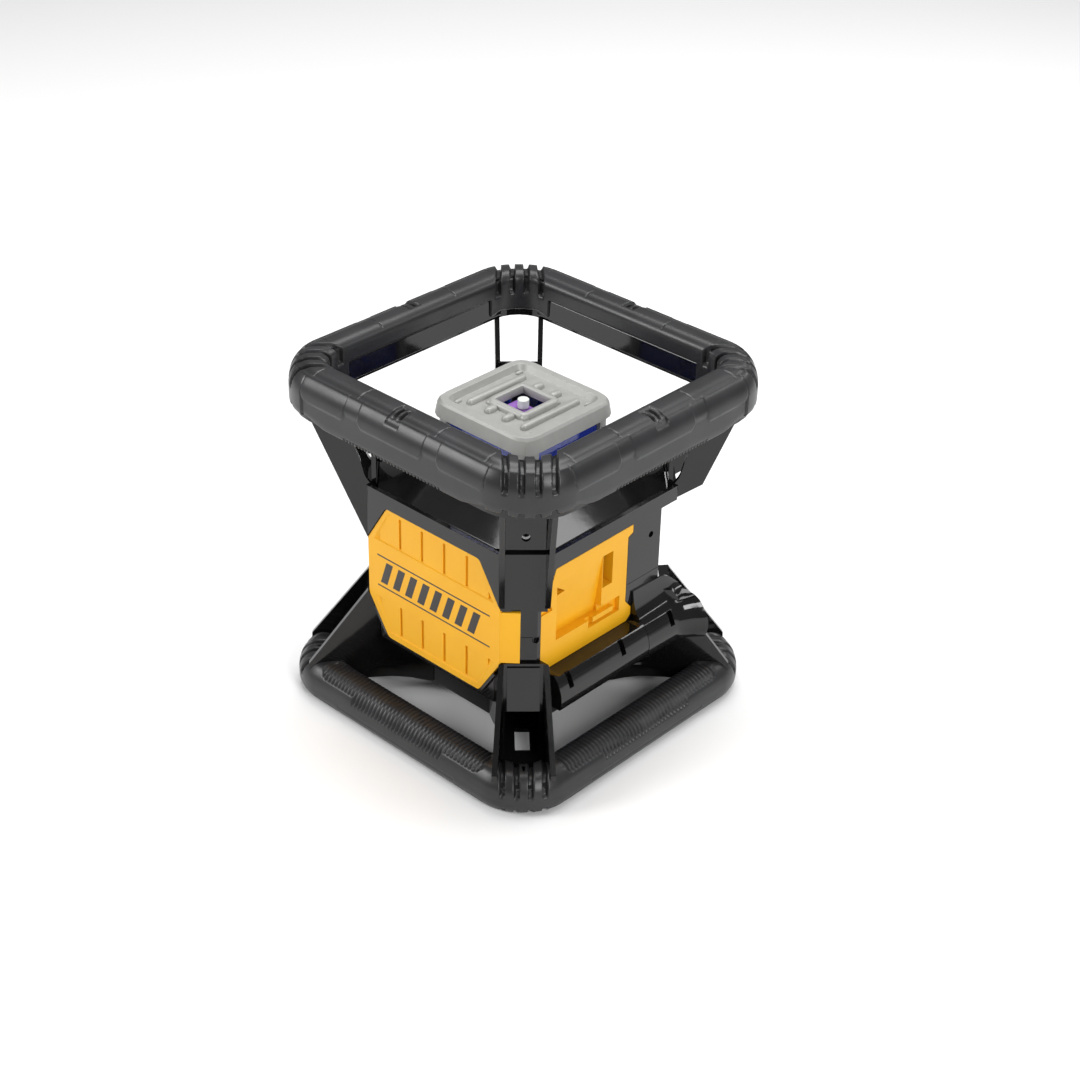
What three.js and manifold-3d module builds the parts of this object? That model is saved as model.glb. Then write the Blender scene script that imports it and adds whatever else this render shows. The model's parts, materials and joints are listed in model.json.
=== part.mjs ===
// Rotating laser level: a self-levelling rotary laser inside a square impact cage.
// Millimetres, +Z up. The origin is the centre of the bottom ring's resting plane.
// -Y is the front panel, +Y the keypad, +X the battery bay and -X the side tripod mount.
import * as THREE from "three";
import { mergeVertices } from "three/addons/utils/BufferGeometryUtils.js";
import Module from "manifold-3d";

const wasm = await Module();
wasm.setup();

// ---- driving dimensions ----
const GAP = 0.3; // clearance between neighbouring pieces
const WALL = 3; // wall of the mouldings
const HEIGHT = 262; // overall height
const RING_HALF = 124; // half width of both rings
const RING_BAR = 27; // width of a ring's bar
const TOP_RING_CORNER = 156; // centre to the top ring's corner flats
const BOTTOM_RING_CORNER = 158; // centre to the bottom ring's corner flats
const RING_FILLET = 38; // outer fillets of the rings
const TOP_RING_UNDERSIDE = 227;
const TOP_RING_EDGE = 250.6; // where the top ring's outer slope starts
const TOP_RING_SLOPE = 11.35;
const BOTTOM_RING_TOP = 28;
const BODY_HALF = 86; // half width of the body over its panels
const BODY_CORNER = 106.4; // centre to the body's corner columns
const CORE_CORNER = 97.6; // centre to the core's corner flats, behind the columns
const BATTERY_FACE = 79; // the core's face on the battery side and on the keypad side
const FAR_CORNER = 95.5; // the core's corner flats beside the keypad
const BODY_BOTTOM = 50;
const SPLIT = 106; // height where the two housing halves meet
const BAND_BOTTOM = 161; // the band over the panels
const BAND_TOP = 172;
const DECK_TOP = 186;
const NECK_TOP = 189;
const COLUMN_LOW = 86.6; // top of the lower corner columns
const COLUMN_HIGH = 128; // bottom of the upper corner columns
const FIN_THICK = 3.6;
const CAGE_HALF = 44; // half width of the roll cage's top
const CAGE_TOP = 230;
const CAGE_SKIRT = 218.6; // lower edge of the roll cage's skirt
const TRAY_FLOOR = 225.6; // recessed middle of the roll cage's top
const PEDESTAL_HALF = 58;
const PEDESTAL_BOTTOM = 10;
const PIVOT = 150; // height of both levelling axes
const TRUNNION_R = 2;
const TUBE_R = 20;
const ARM_X_REACH = 52.5; // levelling arm of the outer gimbal axis, along +Y
const ARM_Y_REACH = 54; // levelling arm of the inner gimbal axis, along -X
const SPINDLE_R = 6;
const SPINDLE_PULLEY_R = 14;
const MOTOR_PULLEY_R = 5;
const MOTOR_OFFSET = 34; // spin motor's distance from the spindle, along -Y
const BELT_PLANE = 172.2; // mid height of the belt

// ---- materials ----
const paint = (color, roughness, metalness = 0) =>
  new THREE.MeshStandardMaterial({ color, roughness, metalness });
const glossBlack = paint(0x161617, 0.22);
const gripBlack = paint(0x2c2c2e, 0.5);
const yellow = paint(0xf9b52c, 0.42);
const satinBlack = paint(0x232324, 0.4);
const castGrey = paint(0xa9a9a4, 0.6, 0.35);
const steel = paint(0xb9bcc0, 0.3, 1);
const brass = paint(0xc9a24b, 0.35, 1);
const glass = paint(0xbfd6e8, 0.05);
const prismGlass = paint(0x6a3fa0, 0.08);
const boardGreen = paint(0x1f6b3a, 0.5);
const keyGrey = paint(0x77797c, 0.55);
const keyRed = paint(0xb03028, 0.5);
const lensRed = paint(0xa31f1f, 0.15);
const rubberBlack = paint(0x1a1a1a, 0.8);
const alloy = paint(0x9aa0a5, 0.45, 0.8);

const root = new THREE.Group();

// ---- solids ----

// A closed three.js geometry as a manifold-3d solid.
function solid(geometry) {
  const bare = geometry.clone();
  bare.deleteAttribute("normal");
  bare.deleteAttribute("uv");
  const merged = mergeVertices(bare, 1e-4);
  const mesh = new wasm.Mesh({
    numProp: 3,
    vertProperties: new Float32Array(merged.attributes.position.array),
    triVerts: new Uint32Array(merged.index.array),
  });
  return new wasm.Manifold(mesh);
}

function join(...pieces) {
  return pieces.reduce((whole, piece) => whole.add(piece));
}

function cut(body, ...tools) {
  return tools.reduce((left, tool) => left.subtract(tool), body);
}

// Adds a solid to the object as one named mesh.
function addPart(name, body, material) {
  const { numProp, vertProperties, triVerts } = body.getMesh();
  const position = new Float32Array((vertProperties.length / numProp) * 3);
  for (let i = 0; i < position.length / 3; i++) {
    position.set(vertProperties.subarray(i * numProp, i * numProp + 3), i * 3);
  }
  const geometry = new THREE.BufferGeometry();
  geometry.setAttribute("position", new THREE.BufferAttribute(position, 3));
  geometry.setIndex(new THREE.BufferAttribute(new Uint32Array(triVerts), 1));
  geometry.computeVertexNormals();
  const mesh = new THREE.Mesh(geometry, material);
  mesh.name = name;
  root.add(mesh);
}

const points = (...pairs) => pairs.map(([x, y]) => new THREE.Vector2(x, y));

function box([x0, x1], [y0, y1], [z0, z1]) {
  const geometry = new THREE.BoxGeometry(x1 - x0, y1 - y0, z1 - z0);
  geometry.translate((x0 + x1) / 2, (y0 + y1) / 2, (z0 + z1) / 2);
  return solid(geometry);
}

// A plan outline raised from z0 to z1.
function prism(outline, z0, z1) {
  const shape = new THREE.Shape(outline);
  const geometry = new THREE.ExtrudeGeometry(shape, { depth: z1 - z0, bevelEnabled: false });
  geometry.translate(0, 0, z0);
  return solid(geometry);
}

// An outline of (Y, Z) pairs carried along X.
function alongX(outline, x0, x1) {
  const shape = new THREE.Shape(outline);
  const geometry = new THREE.ExtrudeGeometry(shape, { depth: x1 - x0, bevelEnabled: false });
  const axes = new THREE.Matrix4().makeBasis(
    new THREE.Vector3(0, 1, 0),
    new THREE.Vector3(0, 0, 1),
    new THREE.Vector3(1, 0, 0),
  );
  geometry.applyMatrix4(axes);
  geometry.translate(x0, 0, 0);
  return solid(geometry);
}

// An outline of (X, Z) pairs carried along Y, from y0 to the larger y1.
function alongY(outline, y0, y1) {
  const shape = new THREE.Shape(outline);
  const geometry = new THREE.ExtrudeGeometry(shape, { depth: y1 - y0, bevelEnabled: false });
  geometry.rotateX(Math.PI / 2);
  geometry.translate(0, y1, 0);
  return solid(geometry);
}

// A round bar from one point to another.
function rod(radius, from, to, segments = 16) {
  const start = new THREE.Vector3(...from);
  const way = new THREE.Vector3(...to).sub(start);
  const geometry = new THREE.CylinderGeometry(radius, radius, way.length(), segments);
  geometry.translate(0, way.length() / 2, 0);
  const turn = new THREE.Quaternion().setFromUnitVectors(
    new THREE.Vector3(0, 1, 0),
    way.clone().normalize(),
  );
  geometry.applyQuaternion(turn);
  geometry.translate(start.x, start.y, start.z);
  return solid(geometry);
}

// A body turned about a vertical axis through (x, y), from a closed profile of (radius, Z) pairs.
function turned(profile, x = 0, y = 0, segments = 24) {
  const closed = [...profile, profile[0]];
  const geometry = new THREE.LatheGeometry(points(...closed), segments);
  geometry.rotateX(Math.PI / 2);
  geometry.translate(x, y, 0);
  const body = solid(geometry);
  if (body.volume() > 0) {
    return body;
  }
  throw new Error("a turned profile runs clockwise");
}

// An upright round bar or ring about (x, y).
function ringPiece(outer, inner, z0, z1, x = 0, y = 0, segments = 24) {
  const disc = rod(outer, [x, y, z0], [x, y, z1], segments);
  if (inner === 0) {
    return disc;
  }
  return cut(disc, rod(inner, [x, y, z0 - 1], [x, y, z1 + 1], segments));
}

// Rounds the corners of an outline.
function rounded(outline, radius, steps = 3) {
  return outline.flatMap((corner, i) => {
    const back = outline.at(i - 1).clone().sub(corner);
    const on = outline[(i + 1) % outline.length].clone().sub(corner);
    const shortest = 0.49 * Math.min(back.length(), on.length());
    const reach = Math.min(radius / Math.tan(back.angleTo(on) / 2), shortest);
    const curve = new THREE.QuadraticBezierCurve(
      back.setLength(reach).add(corner),
      corner,
      on.setLength(reach).add(corner),
    );
    return curve.getPoints(steps);
  });
}

const CORNERS = [
  [1, 1],
  [-1, 1],
  [-1, -1],
  [1, -1],
];

// A rectangle with cut corners, anticlockwise. halves: half widths towards +X, +Y, -X and -Y.
// flats: centre to each corner's flat, from +X+Y anticlockwise.
function cutRectangle([east, north, west, south], flats) {
  return CORNERS.flatMap(([sx, sy], i) => {
    const x = sx > 0 ? east : west;
    const y = sy > 0 ? north : south;
    const sum = flats[i] * Math.SQRT2;
    const ends = points([sx * x, sy * (sum - x)], [sx * (sum - y), sy * y]);
    return sx === sy ? ends : ends.reverse();
  });
}

const octagon = (half, flat, radius = 0, steps = 3) => {
  const outline = cutRectangle([half, half, half, half], [flat, flat, flat, flat]);
  return radius ? rounded(outline, radius, steps) : outline;
};

// A skin through outlines with equal numbers of points. levels: [height, outline], lowest first.
function loft(...levels) {
  const base = levels[0][1];
  const last = levels.length - 1;
  const key = (x, y) => `${Math.fround(x).toFixed(3)} ${Math.fround(y).toFixed(3)}`;
  const indexOf = new Map(base.map((p, i) => [key(p.x, p.y), i]));
  const geometry = new THREE.ExtrudeGeometry(new THREE.Shape(base), {
    depth: last,
    steps: last,
    bevelEnabled: false,
  });
  const position = geometry.attributes.position;
  for (let i = 0; i < position.count; i++) {
    const [height, outline] = levels[Math.round(position.getZ(i))];
    const p = outline[indexOf.get(key(position.getX(i), position.getY(i)))];
    position.setXYZ(i, p.x, p.y, height);
  }
  return solid(geometry);
}

// Turns a solid about the vertical axis, in degrees.
const spun = (body, degrees) => body.rotate([0, 0, degrees]);

// ---- cage frames and their soft grips ----

// Plan outline of a ring, at an inset from its outer edge.
const ringOutline = (flat, inset) =>
  octagon(RING_HALF - inset, flat - inset, RING_FILLET - 0.6 * inset);

// A square ring: its outer skin's [height, inset] pairs, less a straight inside wall.
function squareRing(flat, skin, inside) {
  const outer = loft(...skin.map(([height, inset]) => [height, ringOutline(flat, inset)]));
  return cut(outer, prism(ringOutline(flat, inside), -1, HEIGHT + 1));
}

// A corner fin: an outline of (distance from the axis, Z) pairs, standing upright.
// offset: from the corner's diagonal where it leaves the body; splay: degrees that it opens.
function fin(corner, side, outline, offset, splay) {
  const shape = new THREE.Shape(outline);
  const geometry = new THREE.ExtrudeGeometry(shape, { depth: FIN_THICK, bevelEnabled: false });
  geometry.translate(-BODY_CORNER, 0, -FIN_THICK / 2);
  geometry.rotateX(Math.PI / 2);
  geometry.rotateZ(THREE.MathUtils.degToRad(side * splay));
  geometry.translate(BODY_CORNER, side * offset, 0);
  geometry.rotateZ(THREE.MathUtils.degToRad(corner));
  return solid(geometry);
}

const CORNER_TURNS = [45, 135, 225, 315]; // 45 is the corner between battery bay and keypad
const SIDES = [-1, 1];
const CORE_FLAT_INSET = 4; // ring cores stand back from the grips' skin
const CORE_BAR_INSET = RING_BAR - 4;
const UPPER_FIN_OFFSET = 15;
const UPPER_FIN_SPLAY = 2.2;
const LOWER_FIN_OFFSET = 15;
const LOWER_FIN_SPLAY = 6;
const CHANNEL_HALF = 13.5; // half width of the channel between a corner's fins
const FIN_ROOT = 99; // where the fins meet the body's corners
const LIP_HALF = 86.8; // half width of the upper frame's lip
const LIP_CORNER = 105.5;
const SHORT_FIN_BOTTOM = 161; // at the corner between battery bay and keypad
const POST_FACE = 105; // centre to the outer face of a corner post
const CORNER_SCREW_Z = 183;

// Upper fins: full ones reach down beside the panels, short ones end above the battery side.
// rise: height of the slanted part of the lower edge.
function upperFinOutline(bottom, rise) {
  const top = TOP_RING_UNDERSIDE + 1;
  const outerAt = (z) => LIP_CORNER + 0.39 * (z - 130);
  const edge = new THREE.Path();
  edge.moveTo(FIN_ROOT, bottom);
  edge.lineTo(outerAt(bottom + rise) - 1.6 * rise, bottom);
  edge.lineTo(outerAt(bottom + rise), bottom + rise);
  edge.lineTo(outerAt(top), top);
  edge.lineTo(130.5, top);
  edge.quadraticCurveTo(111, 204, 107.8, 184);
  edge.quadraticCurveTo(106.4, 174.5, FIN_ROOT, 170);
  return edge.getPoints(5);
}

function topFrame() {
  const core = squareRing(
    TOP_RING_CORNER,
    [
      [TOP_RING_UNDERSIDE, CORE_FLAT_INSET],
      [TOP_RING_EDGE - 2, CORE_FLAT_INSET],
      [HEIGHT - 4, CORE_FLAT_INSET + TOP_RING_SLOPE - 1],
    ],
    CORE_BAR_INSET,
  );
  const lipOutline = (inset) => octagon(LIP_HALF - inset, LIP_CORNER - inset);
  const channel = box([60, 170], [-CHANNEL_HALF, CHANNEL_HALF], [100, HEIGHT]);
  let lip = cut(
    prism(lipOutline(0), COLUMN_HIGH + 1, BAND_TOP),
    prism(lipOutline(WALL), COLUMN_HIGH, BAND_TOP + 1),
  );
  for (const turn of CORNER_TURNS) {
    lip = cut(lip, spun(channel, turn));
  }
  const batterySide = box([60, RING_HALF], [-68, RING_HALF], [100, BAND_BOTTOM]);
  const keypadSide = box([-68, RING_HALF], [60, RING_HALF], [100, BAND_BOTTOM]);
  let whole = join(core, cut(lip, batterySide, keypadSide));
  for (const turn of CORNER_TURNS) {
    const [bottom, rise] = turn === 45 ? [SHORT_FIN_BOTTOM, 12] : [COLUMN_HIGH, 3];
    for (const side of SIDES) {
      whole = whole.add(
        fin(turn, side, upperFinOutline(bottom, rise), UPPER_FIN_OFFSET, UPPER_FIN_SPLAY),
      );
    }
    const web = box([FIN_ROOT, FIN_ROOT + 3], [-UPPER_FIN_OFFSET, UPPER_FIN_OFFSET], [bottom, 205]);
    const post = box([FIN_ROOT - 0.5, POST_FACE], [-UPPER_FIN_OFFSET, UPPER_FIN_OFFSET], [bottom, BAND_TOP]);
    const inlay = box([POST_FACE - 1, POST_FACE + 1], [-8.8, 8.8], [COLUMN_HIGH - 1, 159.5]);
    const screwHole = rod(3, [90, 0, CORNER_SCREW_Z], [120, 0, CORNER_SCREW_Z], 12);
    whole = whole.add(spun(cut(join(web, post), inlay, screwHole), turn));
  }
  const bandRoom = prism(octagon(LIP_HALF - WALL, CORE_CORNER + 0.6), 100, BAND_TOP + GAP);
  return cut(whole, bandRoom, deckRoom(), ...panelRooms());
}

// Keeps the frames clear of the upper housing's sloping deck.
function deckRoom() {
  return loft(
    [BAND_TOP - 1, octagon(LIP_HALF - WALL, CORE_CORNER + 0.6)],
    [DECK_TOP + GAP, octagon(46, 58)],
  );
}

const LOWER_FIN = points(
  [BODY_CORNER, COLUMN_LOW],
  [149.6, BOTTOM_RING_TOP - 1],
  [149.6, 20],
  [137, 20],
  [131, 12],
  [72, 12],
  [72, BODY_BOTTOM - GAP],
  [98.5, BODY_BOTTOM - GAP],
  [98.5, COLUMN_LOW],
);

// Plan outline of the web from the pedestal to a corner fin: (distance from the axis, offset) pairs.
const FIN_WEB = points(
  [60, 12],
  [70, 10],
  [100, 12],
  [100, 15],
  [86, 15.6],
  [76, 17.2],
  [69, 19.6],
  [61, 21.6],
);

function bottomFins() {
  return CORNER_TURNS.flatMap((turn) =>
    SIDES.flatMap((side) => {
      const plan = side > 0 ? FIN_WEB : FIN_WEB.map((p) => new THREE.Vector2(p.x, -p.y)).reverse();
      return [
        fin(turn, side, LOWER_FIN, LOWER_FIN_OFFSET, LOWER_FIN_SPLAY),
        spun(prism(plan, 12, BODY_BOTTOM - GAP), turn),
      ];
    }),
  );
}

function bottomFrame() {
  let whole = squareRing(
    BOTTOM_RING_CORNER,
    [
      [4, CORE_FLAT_INSET + 1],
      [20, CORE_FLAT_INSET],
      [24, CORE_FLAT_INSET + 6],
    ],
    CORE_BAR_INSET,
  );
  whole = join(whole, ...bottomFins());
  for (const turn of CORNER_TURNS) {
    const column = box(
      [98.5, BODY_CORNER - 1],
      [-LOWER_FIN_OFFSET, LOWER_FIN_OFFSET],
      [BODY_BOTTOM - 2, COLUMN_LOW],
    );
    const apron = new THREE.Shape(
      points([BODY_CORNER - 4, 84], [BODY_CORNER, 84], [114, 54], [110, 54]),
    );
    const slope = new THREE.ExtrudeGeometry(apron, { depth: 22, bevelEnabled: false });
    slope.translate(0, 0, -11);
    slope.rotateX(Math.PI / 2);
    const floor = box([73, 140], [-17, 17], [20, 23]);
    const slot = box([92, 116], [-5, 5], [10, 30]);
    whole = whole.add(spun(cut(join(column, solid(slope), floor), slot), turn));
  }
  const pedestalRoom = prism(pedestalOutline(GAP), 5, BODY_BOTTOM + 1);
  return cut(join(whole, batteryShelf()), pedestalRoom, ...panelRooms());
}

function topGrip() {
  const outer = squareRing(
    TOP_RING_CORNER,
    [
      [TOP_RING_UNDERSIDE, 2],
      [TOP_RING_UNDERSIDE + 3, 0],
      [TOP_RING_EDGE, 0],
      [HEIGHT, TOP_RING_SLOPE],
    ],
    RING_BAR,
  );
  const room = squareRing(
    TOP_RING_CORNER,
    [
      [TOP_RING_UNDERSIDE - 1, CORE_FLAT_INSET - GAP],
      [TOP_RING_EDGE - 2, CORE_FLAT_INSET - GAP],
      [HEIGHT - 4 + GAP, CORE_FLAT_INSET + TOP_RING_SLOPE - 1 - GAP],
    ],
    CORE_BAR_INSET + GAP,
  );
  return cut(outer, room);
}

function bottomGrip() {
  const outer = squareRing(
    BOTTOM_RING_CORNER,
    [
      [0, 1.6],
      [7, 0],
      [19, 0],
      [BOTTOM_RING_TOP, 9],
    ],
    RING_BAR,
  );
  const room = squareRing(
    BOTTOM_RING_CORNER,
    [
      [4 - GAP, CORE_FLAT_INSET + 1 - GAP],
      [20, CORE_FLAT_INSET - GAP],
      [24 + GAP, CORE_FLAT_INSET + 6 - GAP],
    ],
    CORE_BAR_INSET + GAP,
  );
  let grip = cut(outer, room);
  for (const turn of CORNER_TURNS) {
    const landing = box([110, 151], [-21.8, 21.8], [20 - GAP, 40]);
    const entry = box([110, 138], [-21.8, 21.8], [12 - GAP, 40]);
    grip = cut(grip, spun(join(landing, entry), turn));
  }
  return grip;
}

// ---- housing ----

const SHOULDER_START = 28.6; // just beside the battery bay
const SHELF_BOTTOM = 52;
const SHELF_CREST = [88.5, 77.4];

const coreOutline = (inset, near) =>
  cutRectangle(
    [BATTERY_FACE, BATTERY_FACE, BODY_HALF - WALL, BODY_HALF - WALL].map((v) => v - inset),
    [FAR_CORNER, near, near, near].map((v) => v - inset),
  );

const pedestalOutline = (grow) => octagon(PEDESTAL_HALF + grow, 70 + grow);

const MIDDLE_CORNER = 103; // the core's corner flats between the columns

function lowerHousing() {
  const shell = join(
    prism(coreOutline(0, CORE_CORNER), BODY_BOTTOM, SPLIT),
    prism(coreOutline(0, MIDDLE_CORNER), COLUMN_LOW + GAP, SPLIT),
    panelRim(),
    spun(panelRim(), -90),
  );
  const cavity = prism(coreOutline(WALL, CORE_CORNER), BODY_BOTTOM + WALL, SPLIT + 1);
  const drain = box([-40, 40], [-40, 40], [BODY_BOTTOM - 1, BODY_BOTTOM + WALL + 1]);
  const screwHole = rod(2.4, [BATTERY_FACE - 2.4, -67, 104], [BATTERY_FACE + 1, -67, 104], 12);
  return cut(shell, cavity, drain, bayRoom(), keypadRoom(), sideInsertRoom(), screwHole);
}

// Outline of the shelf below the battery bay, as (X, Z) pairs. top: where it meets the core.
function shelfOutline(bottom, top) {
  const back = BATTERY_FACE - 3;
  const edge = new THREE.Path();
  edge.moveTo(back, bottom);
  edge.lineTo(95.5, bottom);
  edge.quadraticCurveTo(98.8, 62, 94.5, 70);
  edge.quadraticCurveTo(92.5, 76, SHELF_CREST[0], SHELF_CREST[1]);
  edge.quadraticCurveTo(81.8, top > SHELF_CREST[1] ? 81 : SHELF_CREST[1], 80.4, top);
  edge.lineTo(back, top);
  return edge.getPoints(7);
}

// The shelf's outline where it flares out towards its far end. share: 0 for none, 1 for the most.
const flared = (outline, share) =>
  outline.map(({ x, y }) => {
    const low = Math.min(y, SHELF_CREST[1]);
    const lift = (4 * share * (low - SHELF_BOTTOM)) / (SHELF_CREST[1] - SHELF_BOTTOM);
    const reach = x > 80 ? (x - 80) * 0.8 * share : 0;
    return new THREE.Vector2(x + reach, low + lift + (y - low) * (1 - 0.85 * share));
  });

// The ledge that carries the pack under the battery bay, and the shoulder that runs on beside it.
function batteryShelf() {
  const shoulder = shelfOutline(SHELF_BOTTOM - 0.6, 99);
  const levels = [
    [-77, 1],
    [-74, 0.82],
    [-70.5, 0.57],
    [-67, 0.36],
    [-63, 0.19],
    [-58, 0.08],
    [-SHOULDER_START, 0.04],
  ].map(([height, share]) => [height, flared(shoulder, share)]);
  const body = join(
    alongY(flared(shelfOutline(SHELF_BOTTOM, 76), 0.02), -61, SHOULDER_START + 1),
    loft(...levels).rotate([90, 0, 0]),
  );
  const slots = [-50, 3, 54].map((y) => box([90, 99], [y - 2.2, y + 2.2], [66, 76]));
  const core = box([60, BATTERY_FACE + GAP], [-RING_HALF, RING_HALF], [BODY_BOTTOM - 10, BAND_TOP]);
  return cut(body, core, ...slots);
}

function upperHousing() {
  const shell = join(
    prism(coreOutline(0, MIDDLE_CORNER), SPLIT + GAP, COLUMN_HIGH - GAP),
    prism(coreOutline(0, CORE_CORNER), SPLIT + GAP, BAND_BOTTOM + 1),
    prism(octagon(LIP_HALF - WALL - GAP, CORE_CORNER), BAND_BOTTOM, BAND_TOP),
    loft(
      [BAND_TOP - 0.01, octagon(LIP_HALF - WALL - 2, CORE_CORNER)],
      [DECK_TOP, octagon(45, 57)],
    ),
    prism(rounded(octagon(43, 56), 4), DECK_TOP - 1, NECK_TOP),
  );
  const cavity = join(
    prism(coreOutline(WALL, CORE_CORNER - 1), SPLIT - 1, BAND_BOTTOM + 1),
    prism(octagon(BATTERY_FACE - WALL, CORE_CORNER - 4), BAND_BOTTOM, BAND_TOP - WALL),
    loft(
      [BAND_TOP - WALL - 0.01, octagon(BATTERY_FACE - WALL, CORE_CORNER - 4)],
      [DECK_TOP - WALL, octagon(40, 50)],
    ),
    rod(28, [0, 0, DECK_TOP - 5], [0, 0, NECK_TOP + 1], 24),
  );
  const screwHole = rod(2.4, [BATTERY_FACE - 2.4, 46, 137], [BATTERY_FACE + 1, 46, 137], 12);
  return cut(shell, cavity, bayRoom(), keypadRoom(), sideInsertRoom(), screwHole);
}

function pedestal() {
  const shell = loft(
    [PEDESTAL_BOTTOM, pedestalOutline(-2)],
    [PEDESTAL_BOTTOM + 2, pedestalOutline(0)],
    [BODY_BOTTOM - GAP, pedestalOutline(0)],
  );
  const cavity = prism(pedestalOutline(-WALL), PEDESTAL_BOTTOM + 4, BODY_BOTTOM + 1);
  const boss = rod(17, [0, 0, PEDESTAL_BOTTOM + 2], [0, 0, 24], 24);
  const bore = rod(INSERT_R + GAP, [0, 0, 0], [0, 0, 60], 24);
  return cut(join(cut(shell, cavity), boss), bore);
}

// ---- panels on the body ----

// Outline of the front panel and the side plate, grown by a margin.
const panelOutline = (grow) =>
  rounded(
    points(
      [-44 - grow / 2, 56 - grow],
      [44 + grow / 2, 56 - grow],
      [63 + grow, 85.5 - grow / 3],
      [63 + grow, 130.5 + grow / 3],
      [44 + grow / 2, BAND_BOTTOM - GAP + grow],
      [-44 - grow / 2, BAND_BOTTOM - GAP + grow],
      [-63 - grow, 130.5 + grow / 3],
      [-63 - grow, 85.5 - grow / 3],
    ),
    4,
    2,
  );
const PANEL_OUTLINE = panelOutline(0);
const FIELD_DEPTH = 2.1;
const SLAT_DEPTH = 0.8; // how far the slats stand back from the panel's face
const SLAT_HALF = 9.4;
const SLAT_PITCH = 21.2;
const FIELD_MIRROR = 218; // the two fields lie alike above and below half this height

function frontPanel() {
  const face = -BODY_HALF;
  const back = -BODY_HALF + WALL - GAP;
  const plate = alongY(PANEL_OUTLINE, face, back);
  const wraps = SIDES.map((side) => {
    const section = points([62.9, back], [62.6, face], [73, face + 9.2], [71.2, face + 11]);
    const outline = side > 0 ? section : section.map((p) => new THREE.Vector2(-p.x, p.y)).reverse();
    return prism(outline, COLUMN_LOW + 0.8, COLUMN_HIGH - 0.8);
  });
  const upperField = (inset) =>
    points([-57.5, 132], [57.5, 132], [42.5, 157.5], [-42.5, 157.5]).map(
      (p) => new THREE.Vector2(p.x - Math.sign(p.x) * 1.6 * inset, p.y - Math.sign(p.y - 145) * 0.5 * inset),
    );
  const mirrored = (p) => new THREE.Vector2(p.x, FIELD_MIRROR - p.y);
  const lowerField = (inset) => upperField(inset).map(mirrored).reverse();
  const slats = [-2, -1, 0, 1, 2].map((i) =>
    box(
      [i * SLAT_PITCH - SLAT_HALF, i * SLAT_PITCH + SLAT_HALF],
      [face + SLAT_DEPTH, back + 1],
      [BODY_BOTTOM, BAND_TOP],
    ),
  );
  const fields = [upperField, lowerField].map((field) => {
    const pocket = loft([-face - FIELD_DEPTH, field(3)], [-face, field(0)], [-face + 1, field(0)]);
    return cut(pocket.rotate([90, 0, 0]), ...slats);
  });
  return cut(join(plate, ...wraps), ...fields);
}

// A thin rim on the core along the lower edges of a panel.
function panelRim() {
  const slab = alongY(panelOutline(2.3), -BODY_HALF, -BODY_HALF + WALL + 1);
  const above = box([-RING_HALF, RING_HALF], [-RING_HALF, 0], [75.5, HEIGHT]);
  const room = roomFor(PANEL_OUTLINE, (outline) => alongY(outline, -BODY_HALF - 1, -BODY_HALF + WALL + 2));
  return cut(slab, above, room);
}

const SIDE_BOSS_R = 24;
const INSERT_R = 12;
const INSERT_BORE_R = 7.2; // minor radius of the 5/8-11 thread
const SIDE_MOUNT_Z = 108;

function sideMountPlate() {
  const plate = spun(alongY(PANEL_OUTLINE, -BODY_HALF, -BODY_HALF + WALL - GAP), -90);
  const recess = rod(SIDE_BOSS_R + 6, [-90, 0, SIDE_MOUNT_Z], [-BODY_HALF + 1.2, 0, SIDE_MOUNT_Z], 32);
  const boss = rod(
    SIDE_BOSS_R,
    [-BODY_HALF, 0, SIDE_MOUNT_Z],
    [-BODY_HALF + WALL - GAP, 0, SIDE_MOUNT_Z],
    32,
  );
  const bore = rod(INSERT_R + GAP, [-95, 0, SIDE_MOUNT_Z], [-70, 0, SIDE_MOUNT_Z], 24);
  return cut(join(cut(plate, recess), boss), bore);
}

function sideInsertRoom() {
  return rod(INSERT_R + GAP, [-95, 0, SIDE_MOUNT_Z], [-65, 0, SIDE_MOUNT_Z], 24);
}

function tripodInsert(from, to) {
  return cut(rod(INSERT_R, from, to, 24), insertBore(from, to));
}

function insertBore(from, to) {
  const way = new THREE.Vector3(...to).sub(new THREE.Vector3(...from)).setLength(5);
  const start = new THREE.Vector3(...from).sub(way).toArray();
  const end = new THREE.Vector3(...to).add(way).toArray();
  return rod(INSERT_BORE_R, start, end, 24);
}

// ---- battery bay ----

const BAY_DEPTH = 20;
const BAY_OUTLINE = [
  ...new THREE.Path().absarc(-54.3, 85, 9, Math.PI, 1.5 * Math.PI, false).getPoints(5),
  ...points(
    [24, 76],
    [28, 80],
    [28, 86],
    [22, 93],
    [22, 145],
    [26.8, 147],
    [26.8, 153],
    [-49.6, 152],
    [-56.7, 133],
    [-63.3, 130],
  ),
];
const DOCK_BOTTOM = 95;
const TERMINAL_SLOT_Y = [-3, 7];
const TERMINAL_SLOT_Z = [115.5, 141];

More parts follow.
